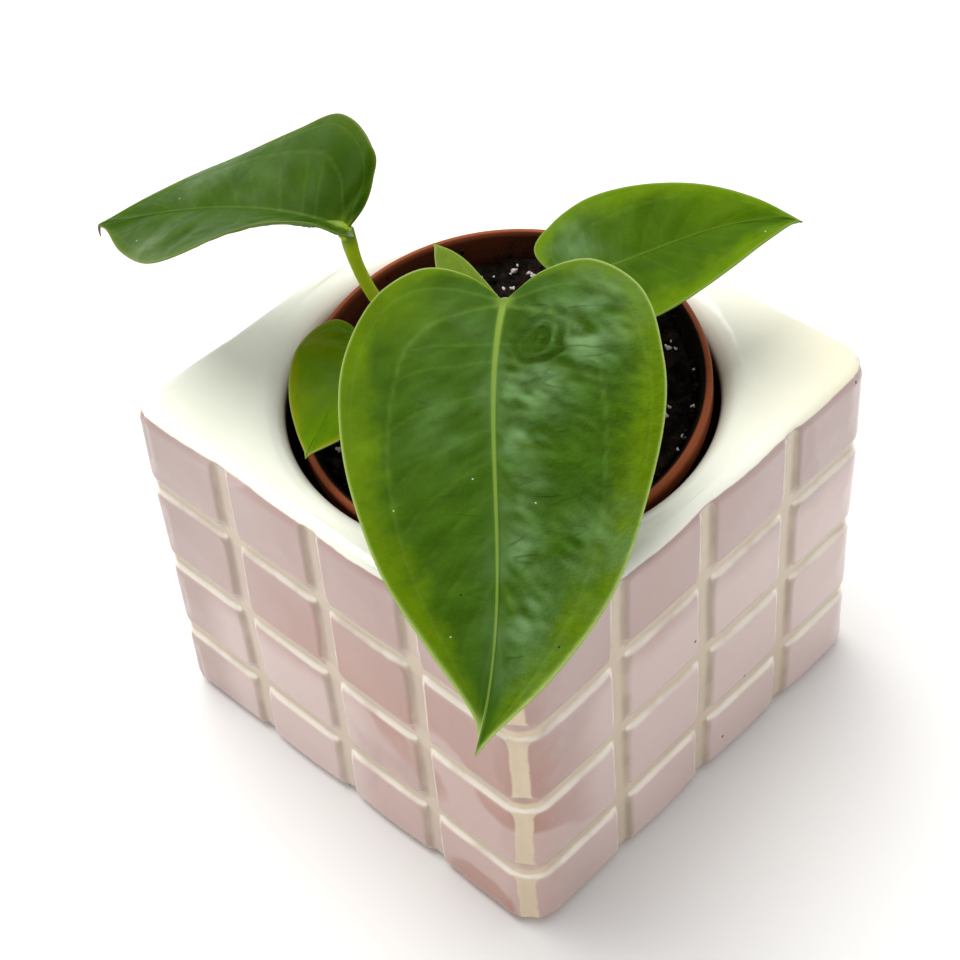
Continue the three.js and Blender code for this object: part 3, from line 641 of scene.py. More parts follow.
def tile_colour(glaze, place, wander):
    """Lilac with random warmer patches, painted warm bounce light low on the first side toward the near
    corner, painted pale and dark reflections, and painted shade toward the left corner.
    """
    x, y, z = glaze.split(place)
    front = glaze.spread(y * -1.0 + wander * 0.01, 0.03, 0.044)
    low = glaze.spread(z, 0.07, 0.03, 0.35, 1.0)
    patch = glaze.spread(glaze.noise(place, 18.0, 2.0), 0.4, 0.7, 0.0, 0.4)
    # painted warm bounce light, low on the first side and toward the near corner
    warm_bounce = front * low * glaze.spread(x, -0.03, 0.0, 0.4, 1.0)
    bent = glaze.bend(place, 90.0, 0.005)
    # pale and dark patches are painted reflections in the glaze, the pale ones more often low at the left
    below = glaze.spread(z + x * 0.35, 0.028, -0.01, 0.0, 0.2)
    pale_reflection = glaze.spread(glaze.noise(bent, 24.0, 1.0, 0.4) + below * front, 0.6, 0.62)
    shifted = glaze.shift(bent, (0.31, 0.12, 0.45))
    dark_reflection = glaze.spread(glaze.noise(shifted, 30.0, 1.0, 0.4), 0.64, 0.665)
    return glaze.paint(
        glaze.uneven(place, TILE_COOL, 28.0, 0.2),
        (glaze.larger(warm_bounce, patch), glaze.uneven(place, TILE_WARM, 36.0, 0.25)),
        (pale_reflection * glaze.spread(x, -0.035, -0.015) * 0.55, TILE_PALE),
        (dark_reflection * 0.35, TILE_DARK),
        # painted shade toward the left corner
        (glaze.spread(x, -0.022, -0.04, 0.0, 0.4), TILE_DARK),
        # painted light, low on the first two sides
        (painted_low_light(glaze, bent, front) * 0.88, TILE_PALE),
    )


def top_colour(glaze, place):
    """Ivory, with painted yellow shade toward the right corner and painted brown shade down the throat."""
    x, y, _ = glaze.split(place)
    ivory = glaze.mix(glaze.spread(x + y, 0.045, 0.085), IVORY, IVORY_SHADE)
    return glaze.mix(glaze.mask("throat"), glaze.uneven(place, ivory, 30.0, 0.08), THROAT_SHADE)


def glaze_material():
    """Lilac glaze on the tiles, cream where it breaks at the grooves, ivory over the top, with painted
    highlights, shade and reflections.
    """
    glaze = Finish("ceramic_glaze", 0.2, 0.4, Coat_Roughness=0.12)
    place = glaze.place()
    wander = glaze.noise(place, 320.0) - 0.5
    strip = glaze.mix(glaze.mask("strip"), GROOVE_CREAM, STRIP_CREAM)
    trench = glaze.mask("trench") + wander * 0.8
    in_groove = glaze.spread(trench, 0.55, 1.1) * glaze.mask("cream")
    # painted shade on the groove walls turned from the light
    pool = glaze.mask("pool") * glaze.spread(glaze.noise(place, 130.0, 2.0), 0.3, 0.6, 0.3, 0.7)
    # the cream glaze break, with painted highlights on lit lips and walls
    lip = glaze.mask("lip") * glaze.spread(glaze.noise(place, 140.0), 0.3, 0.6, 0.55, 1.0)
    bare = glaze.mask("bare")
    colour = glaze.paint(
        tile_colour(glaze, place, wander),
        (in_groove, glaze.uneven(place, strip, 90.0, 0.35)),
        (pool, GROOVE_SHADE),
        (glaze.spread(lip, 0.05, 0.95), GLAZE_BREAK_AND_HIGHLIGHT),
        (glaze.spread(glaze.mask("ivory") + wander * 0.35, 0.3, 0.7), top_colour(glaze, place)),
        (glaze.dots(place, 180.0, 0.06, 0.03), PINHOLE),
        (bare, glaze.uneven(place, BARE_CLAY, 300.0, 0.25)),
    )
    glaze.bump(glaze.noise(place, 80.0, 2.0) + glaze.noise(place, 420.0) * 0.15, 0.0008, 0.4)
    dull = in_groove * 0.1 + bare * 0.6
    return glaze.dress(Base_Color=colour, Roughness=dull + 0.16, Coat_Weight=(1.0 - bare) * 0.35)


def plastic_material():
    """Thin terracotta-brown pot plastic, dusty with soil at the rim, darker inside with soil and painted
    shade.
    """
    plastic = Finish("pot_plastic", 0.42, 0.09, Specular_Tint=PLASTIC_GLINT)
    place = plastic.place()
    inner = plastic.mask("inner")
    # inside: soil and painted shade, painted deeper shade lower down, painted shade on the side away from the
    # light
    wall = plastic.paint(INNER_SHADE_AND_SOIL, (plastic.mask("depth"), INNER_DEEP_SHADE), (plastic.mask("wet"), INNER_SIDE_SHADE))
    scuff = plastic.spread(plastic.noise(place, 380.0, 5.0, 0.7), 0.58, 0.74) * (1.0 - inner * 0.95)
    colour = plastic.paint(
        plastic.uneven(place, PLASTIC_BROWN, 60.0, 0.5),
        (inner, wall),
        (scuff * 0.35, PLASTIC_SCUFF),
        (plastic.dots(place, 620.0, 0.24, 0.09) * plastic.mask("soiled"), SOIL_DUST),
    )
    plastic.bump(plastic.noise(place, 700.0, 4.0), 0.0003, 0.4)
    return plastic.dress(Base_Color=colour, Roughness=scuff * 0.2 + inner * 0.5 + 0.38)


def soil_material(name, colours, scale):
    """Damp peat and bark: near black with brown crumbs."""
    mix = Finish(name, 0.85, 0.06)
    place = mix.place()
    crumbs = mix.mix(mix.spread(mix.noise(place, scale, 5.0, 0.7), 0.42, 0.68), *colours)
    mix.bump(mix.noise(place, scale * 1.6, 6.0, 0.7), 0.0006, 0.8)
    damp = mix.spread(mix.noise(place, scale * 0.7), 0.35, 0.7, 0.6, 0.95)
    return mix.dress(Base_Color=mix.uneven(place, crumbs, scale, 0.8), Roughness=damp)


def perlite_material():
    """White foamed grains, a little grey with soil."""
    perlite = Finish("perlite", 0.9, 0.3)
    place = perlite.place()
    stain = perlite.spread(perlite.noise(place, 700.0), 0.5, 0.75)
    perlite.bump(perlite.noise(place, 2600.0), 0.0002, 0.8)
    return perlite.dress(Base_Color=perlite.mix(stain, *PERLITE_COLOURS))


def sheath_material():
    """Woody crown with papery brown streaks."""
    sheath = Finish("sheath", 0.75, 0.3)
    streak = sheath.spread(sheath.noise(sheath.place(), 420.0, 5.0, 0.7), 0.38, 0.66)
    sheath.bump(streak, 0.0004, 0.6)
    return sheath.dress(Base_Color=sheath.mix(streak, *SHEATH_COLOURS))


def leaf_material(name, deep, warm, margin, haze=0, stain=0, vein=0.3, rib=1.0, rim=0.7, sheen=LEAF_SHEEN):
    """Leathery leaf: deep green between the veins, yellower to the margin, pale veins and rim, with painted
    sheen, painted light and shade on its relief, and painted shade in creases.
    """
    leaf = Finish(f"leaf_{name}", 0.4, 0.07, Specular_Tint=LEAF_GLINT, Coat_Roughness=0.32)
    leaf.dress(Subsurface_Weight=0.08, Subsurface_Radius=(0.4, 1.0, 0.1), Subsurface_Scale=0.0012)
    flat = leaf.add("ShaderNodeAttribute", "Vector", {}, attribute_name="flat")
    edge, relief_shading, crinkle, under = [leaf.mask(key) for key in ("edge", "relief_shading", "crinkle", "under")]
    blotch = leaf.noise(flat, 0.13, 3.0, 0.6) - 0.5
    outer = leaf.spread(edge + blotch * (margin * 1.6), margin, margin * 0.1)
    colour = leaf.paint(
        leaf.uneven(flat, deep, 0.22, 0.7),
        (leaf.larger(outer, leaf.mask("sunny")), leaf.uneven(flat, warm, 0.3, 0.5)),
        (leaf.mask("vein") * vein, LEAF_VEIN),
    )
    # painted sheen in set patches, broken by noise and the relief
    if haze:
        sheen_amount = leaf.spread(leaf.noise(flat, 0.16) + relief_shading * 0.13, 0.24, 0.72) * leaf.mask("haze") * haze
        colour = leaf.mix(sheen_amount * 0.85, colour, sheen)
        leaf.dress(Coat_Weight=sheen_amount * 0.09)
    # creases: painted shade along them, and a dip in the bump
    creased = leaf.group(CREASES, Place=flat) * crinkle * leaf.spread(edge, 0.2, 0.5)
    # painted light on the relief's crests, painted shade in its hollows and the dent
    colour = leaf.paint(
        leaf.brighten(colour, relief_shading * 0.24 + 1.0),
        (creased * 0.5, LEAF_CREASE_SHADE),
        (leaf.mask("shady"), LEAF_SHADE),
        (leaf.mask("rib") * rib, LEAF_RIB),
    )
    if stain:
        scorch = leaf.spread(leaf.mask("tip") + blotch * 0.6, 0.4, 1.1)
        rust = leaf.mask("rim") * leaf.spread(leaf.noise(flat, 0.12), 0.4, 0.6)
        colour = leaf.mix(leaf.larger(scorch, rust) * stain, colour, LEAF_RUST)
    colour = leaf.paint(
        colour,
        (leaf.mask("rim") * rim, LEAF_RIM),
        (leaf.dots(flat, 0.33, 0.05, 0.14) * 0.7, LEAF_DUST),
        (leaf.dots(flat, 0.21, 0.04, 0.12), LEAF_GRIT),
        (under, leaf.uneven(flat, LEAF_UNDER, 0.4, 0.3)),
        (leaf.mask("joint"), JOINT_GREEN),
    )
    skin = leaf.noise(flat, 0.42, 4.0, 0.6) * crinkle * 0.6 + leaf.noise(flat, 5.0, 2.0) * 0.05
    leaf.bump(skin - creased * 0.14, 0.0016, 0.6)
    gloss = leaf.spread(leaf.noise(flat, 0.5), 0.3, 0.7, 0.36, 0.5)
    return leaf.dress(Base_Color=colour, Roughness=under * 0.25 + gloss)


def stalk_material():
    """Smooth leaf stalk, browner at its sheath, with fine flecks."""
    stalk = Finish("leaf_stalk", 0.4, 0.2, Subsurface_Weight=0.15)
    stalk.dress(Subsurface_Radius=(0.5, 1.0, 0.1), Subsurface_Scale=0.0015)
    place = stalk.place()
    colour = stalk.paint(
        stalk.uneven(place, STALK_GREEN, 180.0, 0.4),
        (stalk.mask("sheath"), STALK_TAN),
        (stalk.mask("joint"), JOINT_GREEN),
        (stalk.dots(place, 900.0, 0.2, 0.1) * 0.5, STALK_FLECK),
    )
    stalk.bump(stalk.noise(place, 1100.0), 0.0002, 0.5)
    return stalk.dress(Base_Color=colour)


# Cover pot

class Outside:
    """Places round the outside: along each side, then round the corner after it."""

    def __init__(self):
        half = POT_WIDTH / 2
        places = []
        for side, shift in enumerate(SIDE_SHIFTS):
            first, last = CORNER_RADII[side - 1] - half, half - CORNER_RADII[side]
            marks = {first, last}
            for line in (-1.5, -1, -0.5, 0, 0.5, 1, 1.5):
                centre = line * GROOVE_PITCH + shift
                near = np.linspace(-3.2, 3.2, 19) if line == int(line) else np.linspace(-6, 6, 7)
                marks |= {round(float(centre + o), 4) for o in near}
            grooves = [line * GROOVE_PITCH + shift for line in (-1, 0, 1)]
            for along in sorted(m for m in marks if first <= m <= last):
                offset = min((along - groove for groove in grooves), key=abs)
                places.append((side, along, -1.0, offset, 0.0, UPRIGHT_EDGE))
            for turn in np.linspace(0, math.pi / 2, 31)[1:-1]:
                offset = (turn - math.radians(CORNER_TURNS[side])) * CORNER_RADII[side]
                corner = smooth_step(0.0, 0.35, min(turn, math.pi / 2 - turn))
                places.append((side, 0.0, turn, offset, corner, CORNER_EDGE))
        sides, self.along, self.turn, self.offset, self.corner, self.edge = np.array(places).T
        self.side = sides.astype(int)
        self.radius = np.array(CORNER_RADII)[self.side]
        self.lit = np.array(LIT_WALLS)[self.side]
        self.straight = self.turn < 0

    def ring(self, inset, z):
        """Points round the outside at one height, each drawn in by its own inset."""
        half = POT_WIDTH / 2
        middle, arm = half - self.radius, self.radius - inset
        x = np.where(self.straight, self.along, middle + arm * np.sin(self.turn))
        y = np.where(self.straight, inset - half, -middle - arm * np.cos(self.turn))
        place = (x + 1j * y) * np.array([1, 1j, -1, -1j])[self.side]
        return np.stack([place.real, place.imag, np.full(len(x), z)], axis=1)


def pot_levels():
    """Heights of the outside, and how far each is drawn in by the foot and top rounding."""
    foot, top = FOOT_RADIUS, TOP_RADIUS
    levels = [(foot * (1 - math.cos(a)), foot * (1 - math.sin(a))) for a in np.linspace(0, math.pi / 2, 8)]
    runs = [(line - 3.0, line + 3.0, 19) for line in ROW_LINES]
    runs += [(3.4, 12.6, 6), (19.5, 31.4, 6), (38.1, 50.5, 6), (57.3, 69.2, 6)]
    heights = {round(float(z), 4) for run in runs for z in np.linspace(*run)}
    levels += [(z, 0.0) for z in sorted(heights)]
    for a in np.linspace(0, math.pi / 2, 9):
        levels.append((POT_HEIGHT - top + top * math.sin(a), top * (1 - math.cos(a))))
    return levels


def groove_reach(upright, level):
    """How far a place lies into the grooves from the nearest tile with its rounded corners."""
    a, b = upright + TILE_ROUND, level + TILE_ROUND
    outside = np.hypot(np.maximum(a, 0), np.maximum(b, 0))
    return outside + np.minimum(np.maximum(a, b), 0) - TILE_ROUND


# What the glaze's masks say where the pot is plain ivory
PLAIN_GLAZE = dict(trench=-3.0, cream=1.0, strip=0.0, lip=0.0, pool=0.0, ivory=1.0, bare=0.0, throat=0.0)


def outside_band(pot, z, drawn):
    """One ring of the outside with its tiles and grooves, and what the glaze does there."""
    smooth = pot.ring(0.0, z)
    sag = 0.35 * swell(smooth * [1, 1, 0], 55.0, 4)
    over_line = min((z + sag - line for line in ROW_LINES), key=lambda d: np.abs(d).mean())
    aside = pot.offset + 0.22 * swell(smooth, 34.0, 6)
    upright, level = pot.edge - np.abs(aside), LEVEL_EDGE - np.abs(over_line)
    run_out = (1.0 - 0.9 * smooth_step(*GROOVE_TOP, z)) * (0.4 + 0.6 * smooth_step(*GROOVE_BOTTOM, z))
    reach = groove_reach(upright, level)
    share_up = smooth_step(0.0, GROOVE_SLOPE, upright) * run_out
    share_level = smooth_step(0.0, GROOVE_SLOPE, level)
    strength = share_up * np.where(pot.straight, 1.0, CORNER_UPRIGHT)
    strength += share_level * (1 - (1 - CORNER_LEVEL) * pot.corner) + 1e-6
    strength /= share_up + share_level + 1e-6
    sunk = smooth_step(0.0, GROOVE_SLOPE, reach) * np.where(share_level > share_up, 1.0, run_out)
    uneven = 0.09 * (1.7 - swell(smooth, 30.0, 7))
    pillow = 0.2 * smooth_step(-6.5, 0.0, reach)
    foot = np.minimum(drawn * (1 + (CORNER_FOOT - 1) * pot.corner), 0.7 * pot.radius)
    foot = foot if z < FOOT_RADIUS else drawn
    inset = foot + np.maximum(GROOVE_DEPTH * sunk * strength + uneven + pillow * (1 - sunk), 0.02)

    in_upright = smooth_step(0.3, 1.1, upright)
    crossing = in_upright * (1 - pot.corner)
    above = smooth_step(-0.1, 0.8, over_line) * (level > 0) * (1 - crossing)
    pink = PINK_UPRIGHTS * in_upright * (pot.straight & (pot.side == 0)) * (level < 0)
    # ledge and glow: the cream glaze break on a level groove's lower lip, with a painted highlight where it
    # faces up; bright: a painted highlight on an upright groove's lit wall
    ledge = np.where(over_line < 0, hill(level, 0.75, 0.6), 0.0)
    glow = np.where((over_line < 0) & (level < 0.3), 0.3 * np.exp((level - 0.3) / 1.1), 0.0)
    wall = (share_level < 0.5) * run_out * pot.straight
    bright = wall * hill(upright, 0.6, 0.45) * (aside * pot.lit > 0)
    # overhang and away: painted shade under the upper tile's edge and on an upright groove's unlit wall
    overhang = (over_line > 0) * hill(level, 0.35, 0.4) * (1 - crossing)
    away = wall * hill(upright, 1.0, 0.75) * (aside * pot.lit < 0)
    tinted = groove_reach(upright + 0.75 * pot.corner, level)
    marks = dict(
        PLAIN_GLAZE,
        trench=np.maximum(tinted, -3) * np.where(level > 0, 1.0, run_out),
        cream=(1 - 0.85 * above) * (1 - pink),
        strip=pot.corner,
        lip=np.maximum(np.maximum(ledge, glow) * (1 - crossing), bright),
        pool=np.maximum(overhang, away),
        ivory=smooth_step(*IVORY_LINE, z + 0.12 * swell(smooth, 16.0, 9)),
        bare=float(z == 0),
    )
    return pot.ring(inset, z), marks


def pot_inside(rim_ring):
    """Loops over the top, round the lip, down the throat and along the hollow's walls to its floor."""
    square = rim_ring * [1, 1, 0]
    directions = unit(square)
    flat_edge = MOUTH_RADIUS + LIP_WIDTH
    loops = []
    for share in (0.2, 0.4, 0.6, 0.8, 0.93, 1.0):
        ring = square * (1 - share) + directions * flat_edge * share
        loops.append(ring + UP * (POT_HEIGHT - TOP_DIP * share * share))
    for turn in np.linspace(0, math.pi / 2, 13)[1:]:
        height = POT_HEIGHT - TOP_DIP - (LIP_DROP - TOP_DIP) * (1 - math.cos(turn))
        loops.append(directions * (flat_edge - LIP_WIDTH * math.sin(turn)) + UP * height)
    under = POT_HEIGHT - SHELF
    loops.append(directions * MOUTH_RADIUS + UP * (under + 0.6))
    loops.append(directions * (MOUTH_RADIUS + 0.3) + UP * under)
    half = POT_WIDTH / 2
    wide = square * (half - WALL) / (half - TOP_RADIUS)
    steps = [(0.97, under), (1.0, under - 3), (1.0, 30.0), (1.0, FLOOR + 4), (0.97, FLOOR + 1), (0.9, FLOOR)]
    return loops + [wide * share + UP * z for share, z in steps]


def cover_pot():
    pot = Outside()
    loops, bands = [], []
    for z, drawn in pot_levels():
        ring, marks = outside_band(pot, z, drawn)
        loops.append(ring)
        bands.append(marks)
    for ring in pot_inside(loops[-1]):
        loops.append(ring)
        # painted shade, deepening down the throat
        throat = 1 - smooth_step(POT_HEIGHT - LIP_DROP + 0.2, POT_HEIGHT - 2.2, ring[:, 2])
        bands.append(dict(PLAIN_GLAZE, throat=throat))
    count = len(loops[0])
    bands = [{key: np.broadcast_to(value, count) for key, value in marks.items()} for marks in bands]
    ends = [dict(PLAIN_GLAZE, ivory=0.0, bare=1.0), dict(PLAIN_GLAZE, throat=1.0)]
    bands += [{key: [value] for key, value in marks.items()} for marks in ends]
    points, faces = loft(loops, UP * 0, UP * FLOOR)
    masks = join_masks(bands)
    make_piece("glazed_cover_pot", points, faces, glaze_material(), "cover_pot", masks)


# Nursery pot

def pot_frame():
    """Turns points of the upright nursery pot into its leaning place."""
    axis = unit(LEAN)
    turn = Vector(UP).rotation_difference(Vector(axis)).to_matrix()
    return np.array(turn), RIM_CENTRE - axis * NURSERY_HEIGHT


POT_TURN, POT_FOOT = pot_frame()


def lean(points):
    return points @ POT_TURN.T + POT_FOOT


def inner_radius(height):
    rise = (NURSERY_TAPER_TOP - NURSERY_FOOT) / (NURSERY_HEIGHT - NURSERY_SKIRT)
    return NURSERY_FOOT - NURSERY_WALL + rise * height


def nursery_pot():
    under, foot, top, rim = NURSERY_HEIGHT - NURSERY_SKIRT, NURSERY_FOOT, NURSERY_HEIGHT, RIM_RADIUS
    outside = [(0, 1), (foot - 5, 1), (foot - 4.2, 0.7), (foot - 3.6, 0.1), (foot - 3.2, 0), (foot - 0.9, 0)]
    outside += [(foot - 0.3, 0.2), (foot, 0.8)]
    outside += [(foot + (NURSERY_TAPER_TOP - foot) * s, under * s) for s in np.linspace(0.06, 0.985, 16)]
    outside += [(NURSERY_TAPER_TOP + 0.5, under - 0.5), (rim - 0.5, under - 0.1), (rim - 0.1, under + 0.2)]
    outside += [(rim, under + 0.7), (rim - 0.15, top - 2.2), (rim, top - 1.8)]
    roll = np.linspace(0, math.pi, 9)
    outside += [(rim - 0.9 + 0.9 * math.cos(a), top - 0.7 + 0.7 * math.sin(a)) for a in roll]
    inside = [(rim - 1.9, top - 1.6), (rim - 2.1, top - 3.2), (inner_radius(under) + 0.5, under + 0.6)]
    inside += [(inner_radius(h), h) for h in np.linspace(under - 0.6, 3.6, 12)]
    inside += [(inner_radius(3) - 0.8, 2.6), (inner_radius(3) - 1.6, 2.4), (0, 2.4)]
    profile = outside + inside
    sides = 144
    points, faces = lathe(profile, sides)
    order = np.concatenate([np.repeat(np.arange(len(profile) - 2), sides), [0, len(profile) - 1]])
    inner = (order >= len(outside) - 5).astype(float)
    angle = np.arctan2(points[:, 1], points[:, 0])
    warp = 0.12 * np.sin(2 * angle + 0.6) + 0.06 * np.sin(5 * angle)
    masks = dict(
        inner=inner,
        soiled=smooth_step(under - 12, top - 1.5, points[:, 2]) * (0.35 + 0.65 * inner),
        # painted shade, deeper in the pot
        depth=smooth_step(top - 1.4, top - 4.6, points[:, 2]),
        # painted shade on the wall's side away from the light
        wet=wet_shaded_side(angle),
    )
    points += unit(points * [1, 1, 0] + 1e-9) * (warp * points[:, 2] / top)[:, None]
    material = plastic_material()
    pot = make_piece("brown_nursery_pot", lean(points), faces, material, "nursery_pot", masks)
    for k in range(DRAIN_HOLES):
        drain_hole(pot, math.radians(45 + 360 / DRAIN_HOLES * k))


def drain_hole(pot, angle):
    """Cuts one round hole through the pot's floor."""
    middle = DRAIN_CIRCLE * np.array([math.cos(angle), math.sin(angle), 0.0])
    low, high = middle - UP * 2.0, middle + UP * 5.0
    rim = DRAIN_RADIUS * circle(32)[1]
    points, faces = loft([rim + low, rim + high], low, high)
    cutter = add_object("drain_cutter", new_mesh("drain_cutter", lean(points), faces))
    cut = pot.modifiers.new("drain", "BOOLEAN")
    cut.operation = "DIFFERENCE"
    cut.object = cutter
    bpy.context.view_layer.update()
    finished = bpy.data.meshes.new_from_object(pot.evaluated_get(bpy.context.evaluated_depsgraph_get()))
    pot.modifiers.remove(cut)
    bpy.data.objects.remove(cutter)
    pot.data = finished


# Soil

def wet_shaded_side(angle):
    """1 round the part of the wall that wet soil clings to and that gets painted shade, 0 at the cleaner, lit
    back left.
    """
    turn = np.abs((angle - DRY_LIT_TURN + math.pi) % (2 * math.pi) - math.pi)
    return smooth_step(0.5, 1.3, turn)


def soil_height(x, y):
    """Lumps of the soil over its level, and the bank of it that rises to the wall."""
    slow = np.sin(0.42 * x + 1.3) * np.cos(0.37 * y - 0.4)
    quick = np.sin(0.9 * x - 0.7 * y + 2) * np.cos(0.8 * y + 0.5 * x)
    share = np.hypot(x, y) / inner_radius(SOIL_LEVEL)
    bank = SOIL_BANK * smooth_step(0.45, 0.98, share) * (0.3 + 0.7 * wet_shaded_side(np.arctan2(y, x)))
    return 0.45 * (slow + 0.8 * quick) + bank


def soil_body():
    """The damp mix: a crumbly top, and plain sides and bottom that the pot hides."""
    edge = inner_radius(SOIL_LEVEL) - 0.15
    sides = [(inner_radius(2.7) - 2.2, 2.7), (inner_radius(4.1) - 0.3, 4.1), (edge - 0.05, SOIL_LEVEL - 0.8)]
    ring = circle(200)[1]
    rings = 56
    loops = [ring * radius + UP * z for radius, z in sides]
    for k in range(rings, 0, -1):
        radius = edge * k / rings
        spot = ring[:, :2] * radius
        x, y = spot.T
        crumb = sum(height * swell(spot, size, seed, waves) for height, size, seed, waves in CRUMBS)
        hem = 1.0 - 0.7 * smooth_step(edge - 1.2, edge, radius)
        z = SOIL_LEVEL - 0.1 + soil_height(x, y) + crumb * hem
        fill = 1 + (inner_radius(z) - 0.15 - edge) / edge * smooth_step(0.8, 1.0, radius / edge)
        loops.append(np.stack([x * fill, y * fill, z], axis=1))
    points, faces = loft(loops, UP * 2.7, UP * (SOIL_LEVEL + soil_height(0.0, 0.0)))
    material = soil_material("potting_mix", MIX_COLOURS, 520.0)
    make_piece("damp_potting_mix", lean(points), faces, material, "soil")


def ball():
    """Points and faces of a small round body with 80 faces."""
    shape = bmesh.new()
    bmesh.ops.create_icosphere(shape, subdivisions=2, radius=1.0)
    points = np.array([v.co[:] for v in shape.verts])
    faces = [tuple(v.index for v in f.verts) for f in shape.faces]
    shape.free()
    return points, faces


def on_soil(draw, inset):
    """Picks a place on the soil, from clear of the crown to an inset from the wall."""
    clear, reach = 5.0, inner_radius(SOIL_LEVEL) - 1.0 - inset
    radius = clear + (reach - clear) * math.sqrt(draw.uniform())
    angle = draw.uniform(0, 2 * math.pi)
    x, y = radius * math.cos(angle), radius * math.sin(angle)
    return x, y, SOIL_LEVEL + soil_height(x, y)


def on_wall(draw, headroom):
    """Picks a place on the pot's inner wall, mostly low and on its wet side."""
    angle = draw.uniform(0, 2 * math.pi)
    while draw.uniform() > 0.3 + 0.7 * wet_shaded_side(angle):
        angle = draw.uniform(0, 2 * math.pi)
    edge = inner_radius(SOIL_LEVEL)
    low = SOIL_LEVEL + soil_height(edge * math.cos(angle), edge * math.sin(angle))
    z = low + (NURSERY_HEIGHT - headroom - low) * draw.uniform() ** 1.6
    radius = min(inner_radius(z) + 0.1, RIM_RADIUS - 2.2)
    return radius * math.cos(angle), radius * math.sin(angle), z


def scatter(name, count, seed, size, flatness, material, pick, inset, lift):
    """Irregular lumps strewn over the picked places, joined as one mesh."""
    draw = np.random.default_rng(seed)
    body, body_faces = ball()
    small, large = size
    points, faces = [], []
    for k in range(count):
        x, y, z = pick(draw, inset)
        scale = small + (large - small) * draw.uniform() ** 2
        stretch = np.array([1.0, draw.uniform(0.5, 0.95), draw.uniform(*flatness)]) * scale
        lump = body * (1.0 + 0.28 * swell(body, 1.3, seed * 1000 + k, 6))[:, None] * stretch
        turn = Matrix.Rotation(draw.uniform(0, 2 * math.pi), 3, "Z")
        tip = Matrix.Rotation(draw.normal() * 0.45, 3, "X")
        points.append(lump @ np.array(turn @ tip).T + [x, y, z + lift * scale])
        faces += [tuple(c + k * len(body) for c in face) for face in body_faces]
    make_piece(name, lean(np.vstack(points)), faces, material, "soil")


def soil():
    soil_body()
    bark = soil_material("bark_chips", BARK_COLOURS, 900.0)
    peat = soil_material("peat_crumbs", PEAT_COLOURS, 1400.0)
    white = perlite_material()
    scatter("bark_chips", 110, 41, (0.8, 2.1), (0.25, 0.5), bark, on_soil, 0.8, 0.05)
    scatter("peat_crumbs", 420, 42, (0.25, 0.8), (0.5, 0.9), peat, on_soil, 0.0, 0.1)
    scatter("perlite_grains", 420, 44, (0.22, 0.72), (0.6, 0.95), white, on_soil, 0.3, 0.35)
    scatter("crumbs_on_wall", 260, 45, (0.2, 0.62), (0.4, 0.8), peat, on_wall, 0.9, 0.0)
    scatter("perlite_on_wall", 14, 46, (0.2, 0.55), (0.6, 0.95), white, on_wall, 2.0, 0.1)


# Crown

def crown():
    base, radius = CROWN_SOIL_LINE, CROWN_RADIUS
    steps = [(0.6, -7), (0.9, -3), (1.02, -0.6), (1.04, 0.2), (0.95, 0.9), (0.97, 1.4), (0.86, 2.2)]
    steps += [(0.8, 2.9), (0.5, 4.4)]
    profile = [(0, base - 8)] + [(share * radius, base + z) for share, z in steps]
    profile += [(0.2 * radius, CROWN_TOP - 0.6), (0, CROWN_TOP - 0.4)]
    points, faces = lathe(profile, 64)
    rough = 1.0 + 0.05 * swell(points, 3.0, 51) + 0.03 * swell(points, 1.2, 52)
    points[:, :2] *= rough[:, None]
    make_piece("crown", points, faces, sheath_material(), "crown_stem")
    dry_sheath = bpy.data.materials["sheath"]  # the frame's own plain finish for this slot
    for number, scale in enumerate(SHEATH_SCALES):
        sheath_scale(f"sheath_scale_{number + 1}", *scale, dry_sheath)


def sheath_scale(name, degrees, height, width, material):
    """A dry pointed scale that wraps the crown and leans away at its tip."""
    rows, columns = 26, 14
    across = 2 * np.arange(columns + 1) / columns - 1
    t, s = np.meshgrid(np.arange(rows + 1) / rows, across, indexing="ij")
    half = width * (1 - t**1.6) ** 0.8 * 0.5 + 0.05
    angle = math.radians(degrees) + s * half / (CROWN_RADIUS + 0.4)
    outer = CROWN_RADIUS * (0.96 - 0.16 * t) + 0.25 + 1.5 * t * t + 0.14 * np.sin(7 * s + 9 * t)
    z = CROWN_SOIL_LINE - 1.0 + height * t - 0.5 * np.abs(s)
    shell = []
    for radius in (outer, outer - 0.28):
        shell.append(np.stack([radius * np.cos(angle), radius * np.sin(angle), z], axis=2).reshape(-1, 3))
    grid = np.arange(t.size).reshape(t.shape)
    border = [int(k) for k in (*grid[0], *grid[1:, -1], *grid[-1, -2::-1], *grid[-2::-1, 0])]
    faces = sheet_faces(rows, columns, t.size)
    faces += [(b, a, a + t.size, b + t.size) for a, b in zip(border, border[1:])]
    make_piece(name, np.vstack(shell), faces, material, "crown_stem")


# Leaves

